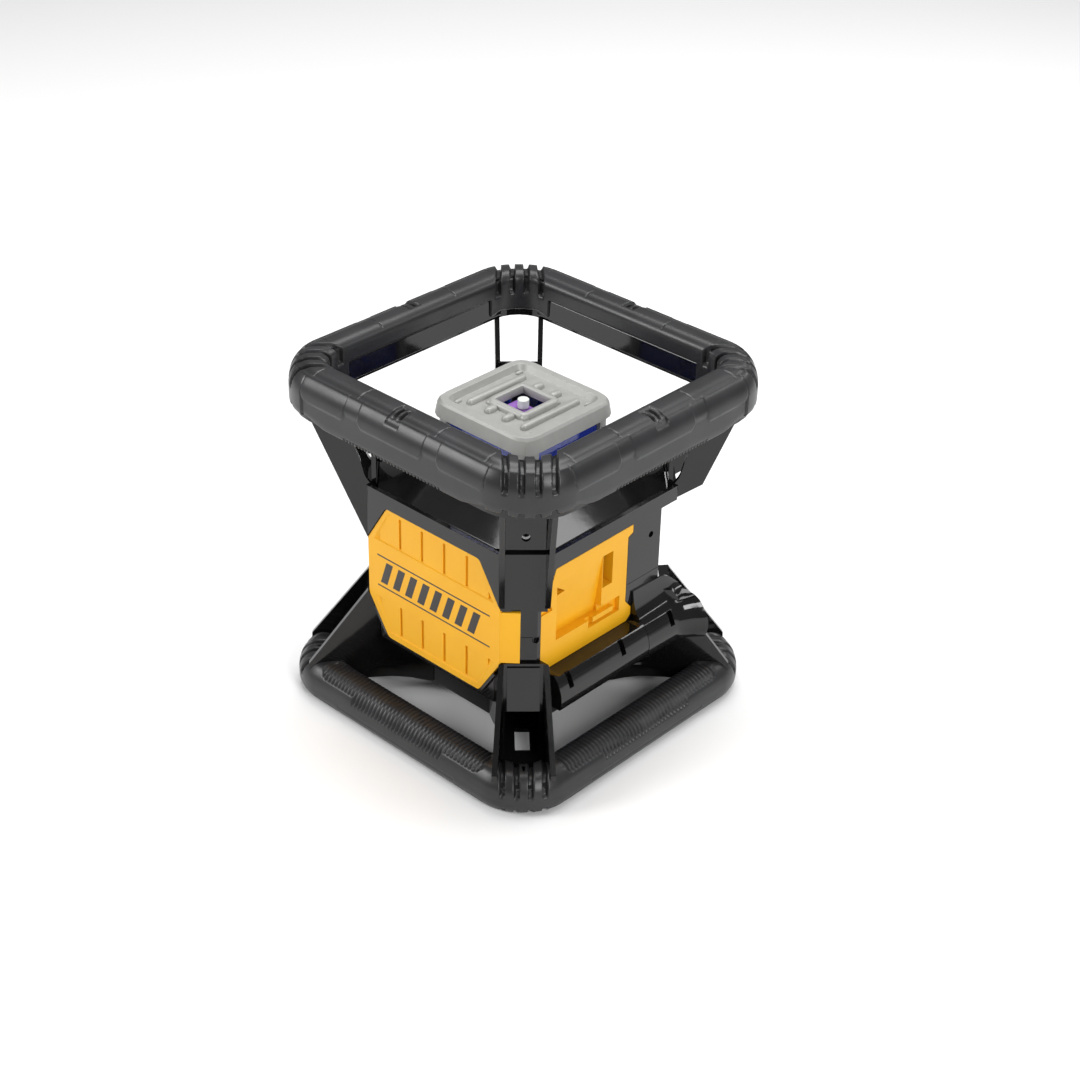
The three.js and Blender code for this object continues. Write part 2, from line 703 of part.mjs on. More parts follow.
function batteryBay() {
  const frontFace = BATTERY_FACE;
  const plate = alongX(BAY_OUTLINE, frontFace - 2.5, frontFace);
  const tub = box([frontFace - BAY_DEPTH, frontFace - 2.4], [-52, 19], [82, 148]);
  const dock = alongY(
    points([frontFace + 1, DOCK_BOTTOM], [frontFace + 1, 142], [frontFace, 142], [72, DOCK_BOTTOM]),
    -48.5,
    -3.5,
  );
  const slot = box([60.3, frontFace + 1], TERMINAL_SLOT_Y, TERMINAL_SLOT_Z);
  const notch = box([frontFace - 1.5, frontFace + 1], [-66, -53], [121, 124]);
  const mark = alongX(points([-47.5, 128.5], [-38.5, 129.5], [-47.5, 136]), 68, frontFace + 1);
  const latchRoom = box([frontFace - 4, frontFace + 1], [-16, 15.5], [88.8, 101]);
  const latch = box([frontFace - 5, frontFace - 0.6], [-11, 10], [91.2, 95.2]);
  return join(cut(join(plate, tub), dock, slot, notch, mark, latchRoom), latch);
}

function bayRoom() {
  return join(
    roomFor(BAY_OUTLINE, (outline) => alongX(outline, BATTERY_FACE - 2.5 - GAP, BATTERY_FACE + 12)),
    box([50, BATTERY_FACE], [-52 - GAP, 19 + GAP], [82 - GAP, 148 + GAP]),
  );
}

// The space that an outline needs with a gap all round.
function roomFor(outline, carry) {
  const copies = CORNERS.map(([sx, sy]) =>
    carry(outline.map((p) => new THREE.Vector2(p.x + sx * GAP, p.y + sy * GAP))),
  );
  return join(...copies);
}

// The space in front of the core that the body's panels and the battery bay take.
function panelRooms() {
  const flat = roomFor(PANEL_OUTLINE, (outline) => alongY(outline, -BODY_HALF - 2, -BODY_HALF + WALL));
  return [flat, spun(flat, -90), bayRoom()];
}

function terminalBlock() {
  const y = TERMINAL_SLOT_Y;
  const z = TERMINAL_SLOT_Z;
  const body = box([60.6, 63.6], [y[0] + GAP, y[1] - GAP], [z[0] + GAP, z[1] - GAP]);
  const pockets = [121, 135].map((mid) => box([62, 64], [y[0] + 3, y[1] - 3], [mid - 4, mid + 4]));
  return cut(body, ...pockets);
}

const blade = (mid) =>
  box([62 + GAP, 69], [TERMINAL_SLOT_Y[0] + 4, TERMINAL_SLOT_Y[1] - 4], [mid - 3, mid + 3]);

// ---- keypad on the +Y face ----

const KEY_FACE = BATTERY_FACE + GAP + WALL; // outer face of the keypad panel
const KEY_TRAVEL_ROOM = 0.4; // clearance around a key
const KEYS = {
  power_button: { x: 0, z: 96, w: 14, h: 10, material: keyRed },
  speed_button: { x: -30, z: 128, w: 13, h: 9, material: keyGrey },
  scan_button: { x: 30, z: 128, w: 13, h: 9, material: keyGrey },
  axis_button: { x: -30, z: 110, w: 13, h: 9, material: keyGrey },
  alert_button: { x: 30, z: 110, w: 13, h: 9, material: keyGrey },
  up_button: { x: 0, z: 133, w: 11, h: 8, material: keyGrey },
  down_button: { x: 0, z: 113, w: 11, h: 8, material: keyGrey },
  left_button: { x: -12, z: 123, w: 8, h: 10, material: keyGrey },
  right_button: { x: 12, z: 123, w: 8, h: 10, material: keyGrey },
};

const KEYPAD_OUTLINE = points(
  [-39, 57],
  [39, 57],
  [55, 82],
  [55, 135],
  [39, 158],
  [-39, 158],
  [-55, 135],
  [-55, 82],
);

// A rounded pad in the XZ plane, between two Y values.
function pad({ x, z, w, h }, grow, y0, y1) {
  const half = [w / 2 + grow, h / 2 + grow];
  const outline = points(
    [x - half[0], z - half[1]],
    [x + half[0], z - half[1]],
    [x + half[0], z + half[1]],
    [x - half[0], z + half[1]],
  );
  return alongY(rounded(outline, 2.5, 2), y0, y1);
}

const keyButton = (key) =>
  join(
    pad(key, 0, KEY_FACE - WALL - 2, KEY_FACE + 1.4),
    pad(key, 1.4, KEY_FACE - WALL - 2.4, KEY_FACE - WALL - 0.6),
    box([key.x - 1.5, key.x + 1.5], [74.8, KEY_FACE - WALL - 2], [key.z - 1.5, key.z + 1.5]),
  );

const STATUS_LENS = { x: 0, z: 147, w: 26, h: 5 };

function keypadPanel() {
  const plate = alongY(KEYPAD_OUTLINE, KEY_FACE - WALL, KEY_FACE);
  const holes = [...Object.values(KEYS), STATUS_LENS].map((key) =>
    pad(key, KEY_TRAVEL_ROOM, KEY_FACE - WALL - 1, KEY_FACE + 1),
  );
  return cut(plate, ...holes);
}

function keypadRoom() {
  return box([-46, 46], [BATTERY_FACE - WALL - 1, BATTERY_FACE + 5], [86, 152]);
}

const KEYPAD_BOARD_Y = [72.4, 74];

function keypadBoard() {
  return box([-44, 44], KEYPAD_BOARD_Y, [88, 150]);
}

// ---- roll cage over the rotor ----

const cageOutline = (half, radius) =>
  rounded(points([half, -half], [half, half], [-half, half], [-half, -half]), radius, 4);
const PANE_HALF = 29;

// A rib with sloped sides that stands on the tray's floor.
function trayRib(x, y, halfX, halfY) {
  const outline = (inset) =>
    points([-1, -1], [1, -1], [1, 1], [-1, 1]).map(
      (p) => new THREE.Vector2(x + p.x * (halfX - inset), y + p.y * (halfY - inset)),
    );
  return loft(
    [TRAY_FLOOR - 1, outline(0)],
    [TRAY_FLOOR + 1.4, outline(0.2)],
    [TRAY_FLOOR + 3, outline(1.2)],
  );
}

function rollCage() {
  const hood = loft(
    [CAGE_SKIRT, cageOutline(CAGE_HALF + 1.8, 15)],
    [CAGE_TOP - 2, cageOutline(CAGE_HALF + 0.3, 14)],
    [CAGE_TOP, cageOutline(CAGE_HALF - 1.4, 13)],
  );
  const inside = prism(cageOutline(CAGE_HALF - 3, 11), CAGE_SKIRT - 1, TRAY_FLOOR - 2.4);
  const tray = loft(
    [TRAY_FLOOR, cageOutline(CAGE_HALF - 9, 7)],
    [CAGE_TOP + 1, cageOutline(CAGE_HALF - 6.2, 8)],
  );
  const frame = loft(
    [TRAY_FLOOR - 1, cageOutline(18.6, 2)],
    [TRAY_FLOOR + 1.6, cageOutline(18.2, 2)],
    [CAGE_TOP - 0.8, cageOutline(16.6, 1.6)],
  );
  const eye = prism(cageOutline(13.5, 1), TRAY_FLOOR - 4, CAGE_TOP + 1);
  const longRibs = [-24.8, 24.8].map((x) => trayRib(x, 0, 2.5, 26));
  const shortRibs = [-8, 8].flatMap((x) => SIDES.map((side) => trayRib(x, side * 23, 2.5, 3.4)));
  const base = cut(
    prism(cageOutline(CAGE_HALF - 1, 13), NECK_TOP + GAP, NECK_TOP + 4),
    prism(cageOutline(CAGE_HALF - 9, 6), NECK_TOP, NECK_TOP + 5),
  );
  const tube = cut(
    prism(cageOutline(CAGE_HALF - 1, 13), NECK_TOP + 2, CAGE_SKIRT + 1),
    prism(cageOutline(CAGE_HALF - 5, 9), NECK_TOP, CAGE_SKIRT + 2),
  );
  const openings = [
    box([-PANE_HALF - 1, PANE_HALF + 1], [-60, 60], [NECK_TOP + 4, CAGE_SKIRT + 2]),
    box([-60, 60], [-PANE_HALF - 1, PANE_HALF + 1], [NECK_TOP + 4, CAGE_SKIRT + 2]),
  ];
  const top = join(cut(hood, inside, tray), frame, ...longRibs, ...shortRibs);
  const posts = cut(tube, ...openings);
  return cut(join(top, base, posts), eye);
}

function windowPane(turn) {
  const pane = box(
    [-PANE_HALF, PANE_HALF],
    [-CAGE_HALF + 3 + GAP, -CAGE_HALF + 5 + GAP],
    [NECK_TOP + 4 + GAP, CAGE_SKIRT + 4],
  );
  return spun(pane, turn);
}

// ---- levelling gimbal ----

const RING_INNER = 29;
const RING_OUTER = 36;
const POST_X = [44, 48];
const ARM_X_Z = [PIVOT - 1.5, PIVOT + 1.5];
const ARM_Y_Z = [139, 142];
const SCREW_X_Y = 60; // place of the outer axis's lead screw, along +Y
const SCREW_Y_X = -62; // place of the inner axis's lead screw
const SCREW_Y_Y = -22;
const SCREW_R = 1.8;

function gimbalChassis() {
  const plate = prism(cutRectangle([75, 69, 79, 79], [90, 90, 92, 92]), SPLIT + 1, SPLIT + 4);
  const tubeHole = rod(33, [0, 0, SPLIT], [0, 0, SPLIT + 5], 24);
  const bayHole = box([56, 80], [-54, 21], [SPLIT, SPLIT + 5]);
  const posts = [1, -1].map((side) => {
    const xs = POST_X.map((x) => x * side).sort((a, b) => a - b);
    return box(xs, [-7, 7], [SPLIT + 3, PIVOT + 7]);
  });
  const holes = rod(TRUNNION_R + GAP, [-60, 0, PIVOT], [60, 0, PIVOT]);
  const insertRoom = box([-80, -62], [-14, 14], [SPLIT, SPLIT + 5]);
  return cut(join(cut(plate, tubeHole, bayHole, insertRoom), ...posts), holes);
}

function gimbalRing() {
  const z = [PIVOT - 3.5, PIVOT + 3.5];
  const ring = cut(
    box([-RING_OUTER, RING_OUTER], [-RING_OUTER, RING_OUTER], z),
    box([-RING_INNER, RING_INNER], [-RING_INNER, RING_INNER], [z[0] - 1, z[1] + 1]),
  );
  const trunnions = [1, -1].map((side) =>
    rod(TRUNNION_R, [side * (RING_OUTER - 1), 0, PIVOT], [side * 50, 0, PIVOT]),
  );
  const arm = box([-3, 3], [RING_OUTER - 1, ARM_X_REACH + 3], ARM_X_Z);
  const platform = box([-71, -RING_OUTER + 1], [-31, -13], [PIVOT + 0.5, PIVOT + 3.5]);
  const screwHole = rod(SCREW_R + GAP, [SCREW_Y_X, SCREW_Y_Y, 140], [SCREW_Y_X, SCREW_Y_Y, 160]);
  const bores = rod(TRUNNION_R + GAP, [0, -60, PIVOT], [0, 60, PIVOT]);
  return cut(join(ring, ...trunnions, arm, platform), screwHole, bores);
}

const TUBE_TOP = 166;
const BEARINGS = [
  [151, 156],
  [160, 165],
];

function laserTube() {
  const shell = turned([
    [16, 104],
    [TUBE_R, 104],
    [TUBE_R, TUBE_TOP],
    [11.3, TUBE_TOP],
    [11.3, 150],
    [8.3, 150],
    [8.3, 134],
    [16, 134],
    [16, 118],
    [9.3, 118],
    [9.3, 114],
    [16, 114],
  ]);
  const trunnions = [1, -1].map((side) =>
    rod(TRUNNION_R, [0, side * (TUBE_R - 1), PIVOT], [0, side * 37, PIVOT]),
  );
  const arm = box([-ARM_Y_REACH - 3, -TUBE_R + 4], [-24, -20], ARM_Y_Z);
  const armRoot = box([-TUBE_R, -12], [-24, -12], ARM_Y_Z);
  const motorShelf = box([-8, 8], [-MOTOR_OFFSET - 8, -TUBE_R + 3], [PIVOT + 5, PIVOT + 7]);
  const bore = rod(15, [0, 0, 118.5], [0, 0, 133.5]);
  return cut(join(shell, trunnions[0], trunnions[1], arm, armRoot, motorShelf), bore);
}

const leadScrew = (x, y, z0, z1) => ringPiece(SCREW_R, 0, z0, z1, x, y, 16);

// A nut that slides on a lead screw and holds an arm in a slot. reach: from the screw to the slot's
// mouth, along the unit direction (dx, dy).
function levellingNut(x, y, middle, dx, dy) {
  const along = (a, b) => [a, b].sort((p, q) => p - q);
  const span = (near, far, centre, d) =>
    d === 0 ? [centre - 6, centre + 6] : along(centre - d * near, centre + d * far);
  const body = box(span(5, 11, x, dx), span(5, 11, y, dy), [middle - 4.5, middle + 4.5]);
  const slot = box(
    span(-4, 12, x, dx).map((v) => (dx === 0 ? v + Math.sign(v - x) : v)),
    span(-4, 12, y, dy).map((v) => (dy === 0 ? v + Math.sign(v - y) : v)),
    [middle - 2.2, middle + 2.2],
  );
  const thread = rod(SCREW_R + GAP, [x, y, middle - 10], [x, y, middle + 10], 16);
  return cut(body, slot, thread);
}

// ---- rotor and its drive ----

const ROTOR_BASE = 192;

function rotorHead() {
  const base = turned([
    [SPINDLE_R + GAP, ROTOR_BASE],
    [17, ROTOR_BASE],
    [19, ROTOR_BASE + 2],
    [19, ROTOR_BASE + 5],
    [SPINDLE_R + GAP, ROTOR_BASE + 5],
  ]);
  const cheeks = [-1, 1].map((side) => {
    const xs = [side * 11.3, side * 14.3].sort((a, b) => a - b);
    return box(xs, [-10, 10], [ROTOR_BASE + 4, 218]);
  });
  return join(base, ...cheeks);
}

const PRISM_TOP = 222.4;

// Five-sided prism: a square with one corner cut at the angles of a penta mirror.
function pentaprism() {
  const foot = ROTOR_BASE + 5 + GAP;
  const outline = points([-12, foot], [12, foot], [12, foot + 15], [5, PRISM_TOP], [-12, PRISM_TOP]);
  return spun(alongY(outline, -11, 11), 90);
}

const pulley = (radius, x, y) =>
  turned(
    [
      [radius, BELT_PLANE - 2],
      [radius, BELT_PLANE + 2],
      [radius + 1.2, BELT_PLANE + 2.4],
      [radius + 1.2, BELT_PLANE + 3],
      [SPINDLE_R / 4, BELT_PLANE + 3],
      [SPINDLE_R / 4, BELT_PLANE - 3],
      [radius + 1.2, BELT_PLANE - 3],
      [radius + 1.2, BELT_PLANE - 2.4],
    ],
    x,
    y,
  );

// The belt's path round both pulleys, at an offset outside their grooves.
function beltOutline(offset) {
  const big = SPINDLE_PULLEY_R + offset;
  const small = MOTOR_PULLEY_R + offset;
  const lean = Math.asin((big - small) / MOTOR_OFFSET);
  const outline = new THREE.Path();
  outline.absarc(0, 0, big, -lean, Math.PI + lean, false);
  outline.absarc(0, -MOTOR_OFFSET, small, Math.PI + lean, 2 * Math.PI - lean, false);
  return outline.getPoints(10);
}

function driveBelt() {
  const zs = [BELT_PLANE - 1.7, BELT_PLANE + 1.7];
  return cut(prism(beltOutline(1.1), ...zs), prism(beltOutline(GAP), zs[0] - 1, zs[1] + 1));
}

// ---- assembly ----

addPart("top_frame", topFrame(), glossBlack);
addPart("top_grip", topGrip(), gripBlack);
addPart("bottom_frame", bottomFrame(), glossBlack);
addPart("bottom_grip", bottomGrip(), gripBlack);
addPart("lower_housing", lowerHousing(), glossBlack);
addPart("upper_housing", upperHousing(), glossBlack);
addPart("pedestal", pedestal(), glossBlack);
addPart("front_panel", frontPanel(), yellow);
addPart("side_mount_plate", sideMountPlate(), satinBlack);
addPart(
  "side_tripod_insert",
  tripodInsert([-BODY_HALF + 0.5, 0, SIDE_MOUNT_Z], [-70, 0, SIDE_MOUNT_Z]),
  brass,
);
addPart(
  "bottom_tripod_insert",
  tripodInsert([0, 0, PEDESTAL_BOTTOM + 0.5], [0, 0, 24]),
  brass,
);
addPart("battery_bay", batteryBay(), yellow);
addPart("terminal_block", terminalBlock(), satinBlack);
addPart("terminal_blade_lower", blade(121), brass);
addPart("terminal_blade_upper", blade(135), brass);
addPart("keypad_panel", keypadPanel(), satinBlack);
addPart("status_lens", pad(STATUS_LENS, 0, KEY_FACE - WALL - 2, KEY_FACE + 0.5), lensRed);
for (const [name, key] of Object.entries(KEYS)) {
  addPart(name, keyButton(key), key.material);
}
addPart("keypad_board", keypadBoard(), boardGreen);
addPart("main_board", box([-52, 52], [-52, 52], [58, 59.6]), boardGreen);
addPart("roll_cage", rollCage(), castGrey);
["front", "battery", "keypad", "mount"].forEach((side, i) => {
  addPart(`window_pane_${side}`, windowPane(90 * i), glass);
});

addPart("gimbal_chassis", gimbalChassis(), alloy);
addPart("levelling_motor_x", ringPiece(8, 0, SPLIT + 4 + GAP, 127, 0, SCREW_X_Y, 24), steel);
addPart("levelling_screw_x", leadScrew(0, SCREW_X_Y, 127 + GAP, 168), steel);
addPart("levelling_nut_x", levellingNut(0, SCREW_X_Y, PIVOT, 0, -1), brass);

addPart("gimbal_ring", gimbalRing(), alloy);
addPart(
  "levelling_motor_y",
  ringPiece(7, 0, PIVOT + 3.5 + GAP, 167, SCREW_Y_X, SCREW_Y_Y, 24),
  steel,
);
addPart("levelling_screw_y", leadScrew(SCREW_Y_X, SCREW_Y_Y, 128, PIVOT + 3.5), steel);
addPart("levelling_nut_y", levellingNut(SCREW_Y_X, SCREW_Y_Y, 140.5, 1, 0), brass);

addPart("laser_tube", laserTube(), alloy);
addPart("laser_module", ringPiece(9, 0, 106, 128, 0, 0, 24), brass);
addPart("collimator_lens", ringPiece(8, 0, 138, 142, 0, 0, 24), glass);
addPart("tilt_sensor_x", box([-12, 12], [TUBE_R + GAP, 28], [118, 127]), satinBlack);
addPart("tilt_sensor_y", box([TUBE_R + GAP, 28], [-12, 12], [118, 127]), satinBlack);
BEARINGS.forEach(([z0, z1], i) => {
  addPart(`spindle_bearing_${i + 1}`, ringPiece(11, SPINDLE_R + GAP, z0, z1), steel);
});
addPart(
  "spin_motor",
  ringPiece(10, 0, PIVOT + 7 + GAP, 168, 0, -MOTOR_OFFSET, 24),
  steel,
);
addPart("drive_belt", driveBelt(), rubberBlack);

addPart("spindle", ringPiece(SPINDLE_R, 4, 148, ROTOR_BASE + 4), steel);
addPart("encoder_disc", ringPiece(15, SPINDLE_R + GAP, 167.2, 168.2), glass);
addPart(
  "spindle_pulley",
  cut(pulley(SPINDLE_PULLEY_R, 0, 0), rod(SPINDLE_R + GAP, [0, 0, 160], [0, 0, 180], 24)),
  satinBlack,
);
addPart("rotor_head", rotorHead(), satinBlack);
addPart("pentaprism", pentaprism(), prismGlass);
addPart("plumb_window", ringPiece(4, 0, PRISM_TOP + GAP, CAGE_TOP - 0.8, 0, 0, 24), glass);
addPart(
  "motor_pulley",
  join(pulley(MOTOR_PULLEY_R, 0, -MOTOR_OFFSET), ringPiece(1.6, 0, 168 + GAP, 170, 0, -MOTOR_OFFSET)),
  satinBlack,
);

export default root;
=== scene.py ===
"""Looks of a rotating laser level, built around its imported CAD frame. Metres, +Z up."""

import json
import math

import bpy
import numpy as np
from mathutils import Matrix, Vector

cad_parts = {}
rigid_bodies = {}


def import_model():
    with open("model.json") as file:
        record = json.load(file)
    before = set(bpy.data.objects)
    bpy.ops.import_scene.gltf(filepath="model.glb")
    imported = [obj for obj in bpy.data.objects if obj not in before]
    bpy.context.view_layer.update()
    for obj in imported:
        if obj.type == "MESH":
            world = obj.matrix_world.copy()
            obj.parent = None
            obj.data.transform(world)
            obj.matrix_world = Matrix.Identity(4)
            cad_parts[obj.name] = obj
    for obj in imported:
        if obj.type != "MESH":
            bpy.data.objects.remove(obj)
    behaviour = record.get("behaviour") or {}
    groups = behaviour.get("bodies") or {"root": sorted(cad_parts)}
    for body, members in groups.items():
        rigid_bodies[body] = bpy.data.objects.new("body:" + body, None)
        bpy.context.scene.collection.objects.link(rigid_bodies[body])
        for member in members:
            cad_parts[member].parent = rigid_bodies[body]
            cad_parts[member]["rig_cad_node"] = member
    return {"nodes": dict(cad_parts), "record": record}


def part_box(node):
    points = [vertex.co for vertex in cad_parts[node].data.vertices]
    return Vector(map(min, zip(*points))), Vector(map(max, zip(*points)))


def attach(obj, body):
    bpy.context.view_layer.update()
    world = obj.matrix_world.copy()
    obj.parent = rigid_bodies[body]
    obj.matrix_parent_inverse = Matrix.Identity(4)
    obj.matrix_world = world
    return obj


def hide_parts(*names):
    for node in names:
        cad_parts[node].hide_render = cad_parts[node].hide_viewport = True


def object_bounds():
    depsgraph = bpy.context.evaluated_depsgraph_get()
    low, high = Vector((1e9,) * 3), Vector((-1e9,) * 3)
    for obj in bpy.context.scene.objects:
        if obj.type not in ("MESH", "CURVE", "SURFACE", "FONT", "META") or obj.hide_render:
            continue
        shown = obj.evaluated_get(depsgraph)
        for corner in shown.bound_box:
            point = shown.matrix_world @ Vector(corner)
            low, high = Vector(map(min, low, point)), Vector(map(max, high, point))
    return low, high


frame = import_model()
cad_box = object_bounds()

# ---- driving dimensions, in millimetres ----
MM = 0.001
RING_HALF = cad_box[1].x / MM
HEIGHT = cad_box[1].z / MM
RING_BAR = 27.0  # a ring's width, seen from above
RING_FILLET = 38.0  # where a ring's side bends into its cut corner
TOP_RING_CORNER = 156.0  # from the middle to the flat of a cut corner
BOTTOM_RING_CORNER = 158.0
RING_CREST = HEIGHT - 0.4
TOP_RING_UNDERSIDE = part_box("top_grip")[0].z / MM
BOTTOM_RING_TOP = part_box("bottom_grip")[1].z / MM
TRAY_DEPTH = 4.4
TRAY_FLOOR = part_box("roll_cage")[1].z / MM - TRAY_DEPTH
PANEL_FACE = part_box("front_panel")[0].y / MM
BATTERY_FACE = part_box("battery_bay")[1].x / MM
CORNER_TURNS = (45, 135, 225, 315)
QUARTER_TURNS = [(math.cos(turn * math.pi / 2), math.sin(turn * math.pi / 2)) for turn in range(4)]


# ---- mesh building ----

def add_mesh(name, vertices, faces, material, slot, body="housing", flat_above=40):
    """A smooth-shaded piece from vertices in millimetres, riding on a body."""
    mesh = bpy.data.meshes.new(name)
    mesh.from_pydata((np.asarray(vertices, float) * MM).tolist(), [], faces)
    mesh.validate()
    mesh.polygons.foreach_set("use_smooth", [True] * len(mesh.polygons))
    mesh.set_sharp_from_angle(angle=math.radians(flat_above))
    mesh.materials.append(material)
    piece = bpy.data.objects.new(name, mesh)
    bpy.context.scene.collection.objects.link(piece)
    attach(piece, body)
    return piece


def bevelled(piece, width, segments=2, angle=30):
    """Rounds a piece's edges, width in millimetres."""
    bevel = piece.modifiers.new("edges", "BEVEL")
    bevel.width = width * MM
    bevel.segments = segments
    bevel.limit_method = "ANGLE"
    bevel.angle_limit = math.radians(angle)
    bevel.use_clamp_overlap = True
    normals = piece.modifiers.new("normals", "WEIGHTED_NORMAL")
    normals.keep_sharp = True
    return piece


def quads(rows, columns, closed=True):
    """Faces of a sheet whose columns wrap around, and its rows too where it is closed."""
    return [
        (
            i * columns + j,
            i * columns + (j + 1) % columns,
            (i + 1) % rows * columns + (j + 1) % columns,
            (i + 1) % rows * columns + j,
        )
        for i in range(rows if closed else rows - 1)
        for j in range(columns)
    ]


def prism_mesh(outline, place, low, high):
    """Vertices and faces of an outline carried from low to high. place(u, v, w) gives the point."""
    count = len(outline)
    vertices = [place(u, v, low) for u, v in outline] + [place(u, v, high) for u, v in outline]
    faces = [tuple(range(count))[::-1], tuple(range(count, 2 * count))]
    faces += [(i, (i + 1) % count, count + (i + 1) % count, count + i) for i in range(count)]
    return vertices, faces


def join_meshes(parts):
    """Several (vertices, faces) lists as one."""
    vertices, faces = [], []
    for some_vertices, some_faces in parts:
        start = len(vertices)
        vertices += list(some_vertices)
        faces += [tuple(start + k for k in face) for face in some_faces]
    return vertices, faces


def turned_mesh(profile, steps=32):
    """Vertices and faces of a closed (radius, height) profile turned about +Z."""
    angles = [2 * math.pi * i / steps for i in range(steps)]
    vertices = [(r * math.cos(a), r * math.sin(a), z) for a in angles for r, z in profile]
    return vertices, quads(steps, len(profile))


def smooth_step(low, high, value):
    share = np.clip((value - low) / (high - low), 0, 1)
    return share * share * (3 - 2 * share)


def bump_at(value, centre, half_width, edge):
    """1 within half_width of centre, falling to 0 over edge."""
    return 1 - smooth_step(half_width, half_width + edge, np.abs(value - centre))


def rounded_corner(back, corner, on, radius, steps):
    """Points of a soft corner between two straight runs of a section."""
    corner = np.array(corner, float)
    to_back, to_on = np.array(back) - corner, np.array(on) - corner
    reach = min(radius, 0.45 * np.linalg.norm(to_back), 0.45 * np.linalg.norm(to_on))
    start = corner + to_back / np.linalg.norm(to_back) * reach
    end = corner + to_on / np.linalg.norm(to_on) * reach
    shares = np.linspace(0, 1, steps)
    return [(1 - t) ** 2 * start + 2 * t * (1 - t) * corner + t * t * end for t in shares]


def soft_section(corners, pitch, steps=6):
    """A closed section with rounded corners and straight runs cut into steps of about pitch.
    corners: (first coordinate, second coordinate, corner radius)."""
    rounded = []
    for i, (a, b, radius) in enumerate(corners):
        back, on = corners[i - 1], corners[(i + 1) % len(corners)]
        rounded += rounded_corner(back[:2], (a, b), on[:2], radius, steps)
    section = []
    for i, start in enumerate(rounded):
        end = rounded[(i + 1) % len(rounded)]
        count = max(1, round(np.linalg.norm(end - start) / pitch))
        section += [start + (end - start) * k / count for k in range(count)]
    return np.array(section)


# ---- materials ----

def new_material(name):
    material = bpy.data.materials.new(name)
    material.use_nodes = True
    return material, material.node_tree, material.node_tree.nodes["Principled BSDF"]


def add_node(tree, kind, **sockets):
    node = tree.nodes.new(kind)
    for key, value in sockets.items():
        node.inputs[key.replace("_", " ")].default_value = value
    return node


def noise(tree, scale, detail=4.0, roughness=0.55):
    place = tree.nodes.new("ShaderNodeTexCoord")
    texture = add_node(tree, "ShaderNodeTexNoise", Scale=scale, Detail=detail, Roughness=roughness)
    tree.links.new(place.outputs["Object"], texture.inputs["Vector"])
    return texture.outputs["Fac"]


def spread(tree, value, low, high):
    """Maps a texture's 0 to 1 onto low to high."""
    node = add_node(tree, "ShaderNodeMapRange", To_Min=low, To_Max=high)
    tree.links.new(value, node.inputs["Value"])
    return node.outputs["Result"]


def two_colours(tree, factor, first, second, low=0.35, high=0.65):
    ramp = tree.nodes.new("ShaderNodeValToRGB")
    ramp.color_ramp.elements[0].position = low
    ramp.color_ramp.elements[1].position = high
    ramp.color_ramp.elements[0].color = (*first, 1)
    ramp.color_ramp.elements[1].color = (*second, 1)
    tree.links.new(factor, ramp.inputs["Fac"])
    return ramp.outputs["Color"]


def bump(tree, shader, height, distance, strength, under=None):
    """Bump from a texture, distance in millimetres, over another bump where under is given."""
    node = add_node(tree, "ShaderNodeBump", Strength=strength, Distance=distance * MM)
    tree.links.new(height, node.inputs["Height"])
    if under is not None:
        tree.links.new(under, node.inputs["Normal"])
    tree.links.new(node.outputs["Normal"], shader.inputs["Normal"])
    return node.outputs["Normal"]


def moulded(name, light, dark, roughness, grain=0.02, ior=1.5):
    """Moulded plastic or rubber: slight colour clouds, uneven gloss and a fine skin."""
    material, tree, shader = new_material(name)
    colour = two_colours(tree, noise(tree, 35), dark, light)
    tree.links.new(colour, shader.inputs["Base Color"])
    gloss = spread(tree, noise(tree, 60, 6), roughness[0], roughness[1])
    tree.links.new(gloss, shader.inputs["Roughness"])
    shader.inputs["IOR"].default_value = ior
    waves = bump(tree, shader, noise(tree, 90, 2), 0.12, 0.25)
    bump(tree, shader, noise(tree, 2500, 2), grain, 0.6, under=waves)
    return material


def metal(name, colour, roughness, grain=0.01, grain_scale=1500, metallic=1.0, cloud=0.8):
    """Machined, cast or turned metal with grain and slight stains."""
    material, tree, shader = new_material(name)
    dark = tuple(cloud * c for c in colour)
    tree.links.new(two_colours(tree, noise(tree, 120, 5), dark, colour), shader.inputs["Base Color"])
    gloss = spread(tree, noise(tree, 400, 6), roughness[0], roughness[1])
    tree.links.new(gloss, shader.inputs["Roughness"])
    shader.inputs["Metallic"].default_value = metallic
    bump(tree, shader, noise(tree, grain_scale, 5), grain, 0.8)
    return material


def glassy(name, colour, transmission, roughness):
    """Optical glass with a coating tint and faint dust in its gloss."""
    material, tree, shader = new_material(name)
    tint = two_colours(tree, noise(tree, 40, 2), colour, tuple(0.8 * c for c in colour))
    tree.links.new(tint, shader.inputs["Base Color"])
    dust = spread(tree, noise(tree, 900, 6), roughness, roughness + 0.03)
    tree.links.new(dust, shader.inputs["Roughness"])
    shader.inputs["Transmission Weight"].default_value = transmission
    shader.inputs["IOR"].default_value = 1.5
    return material


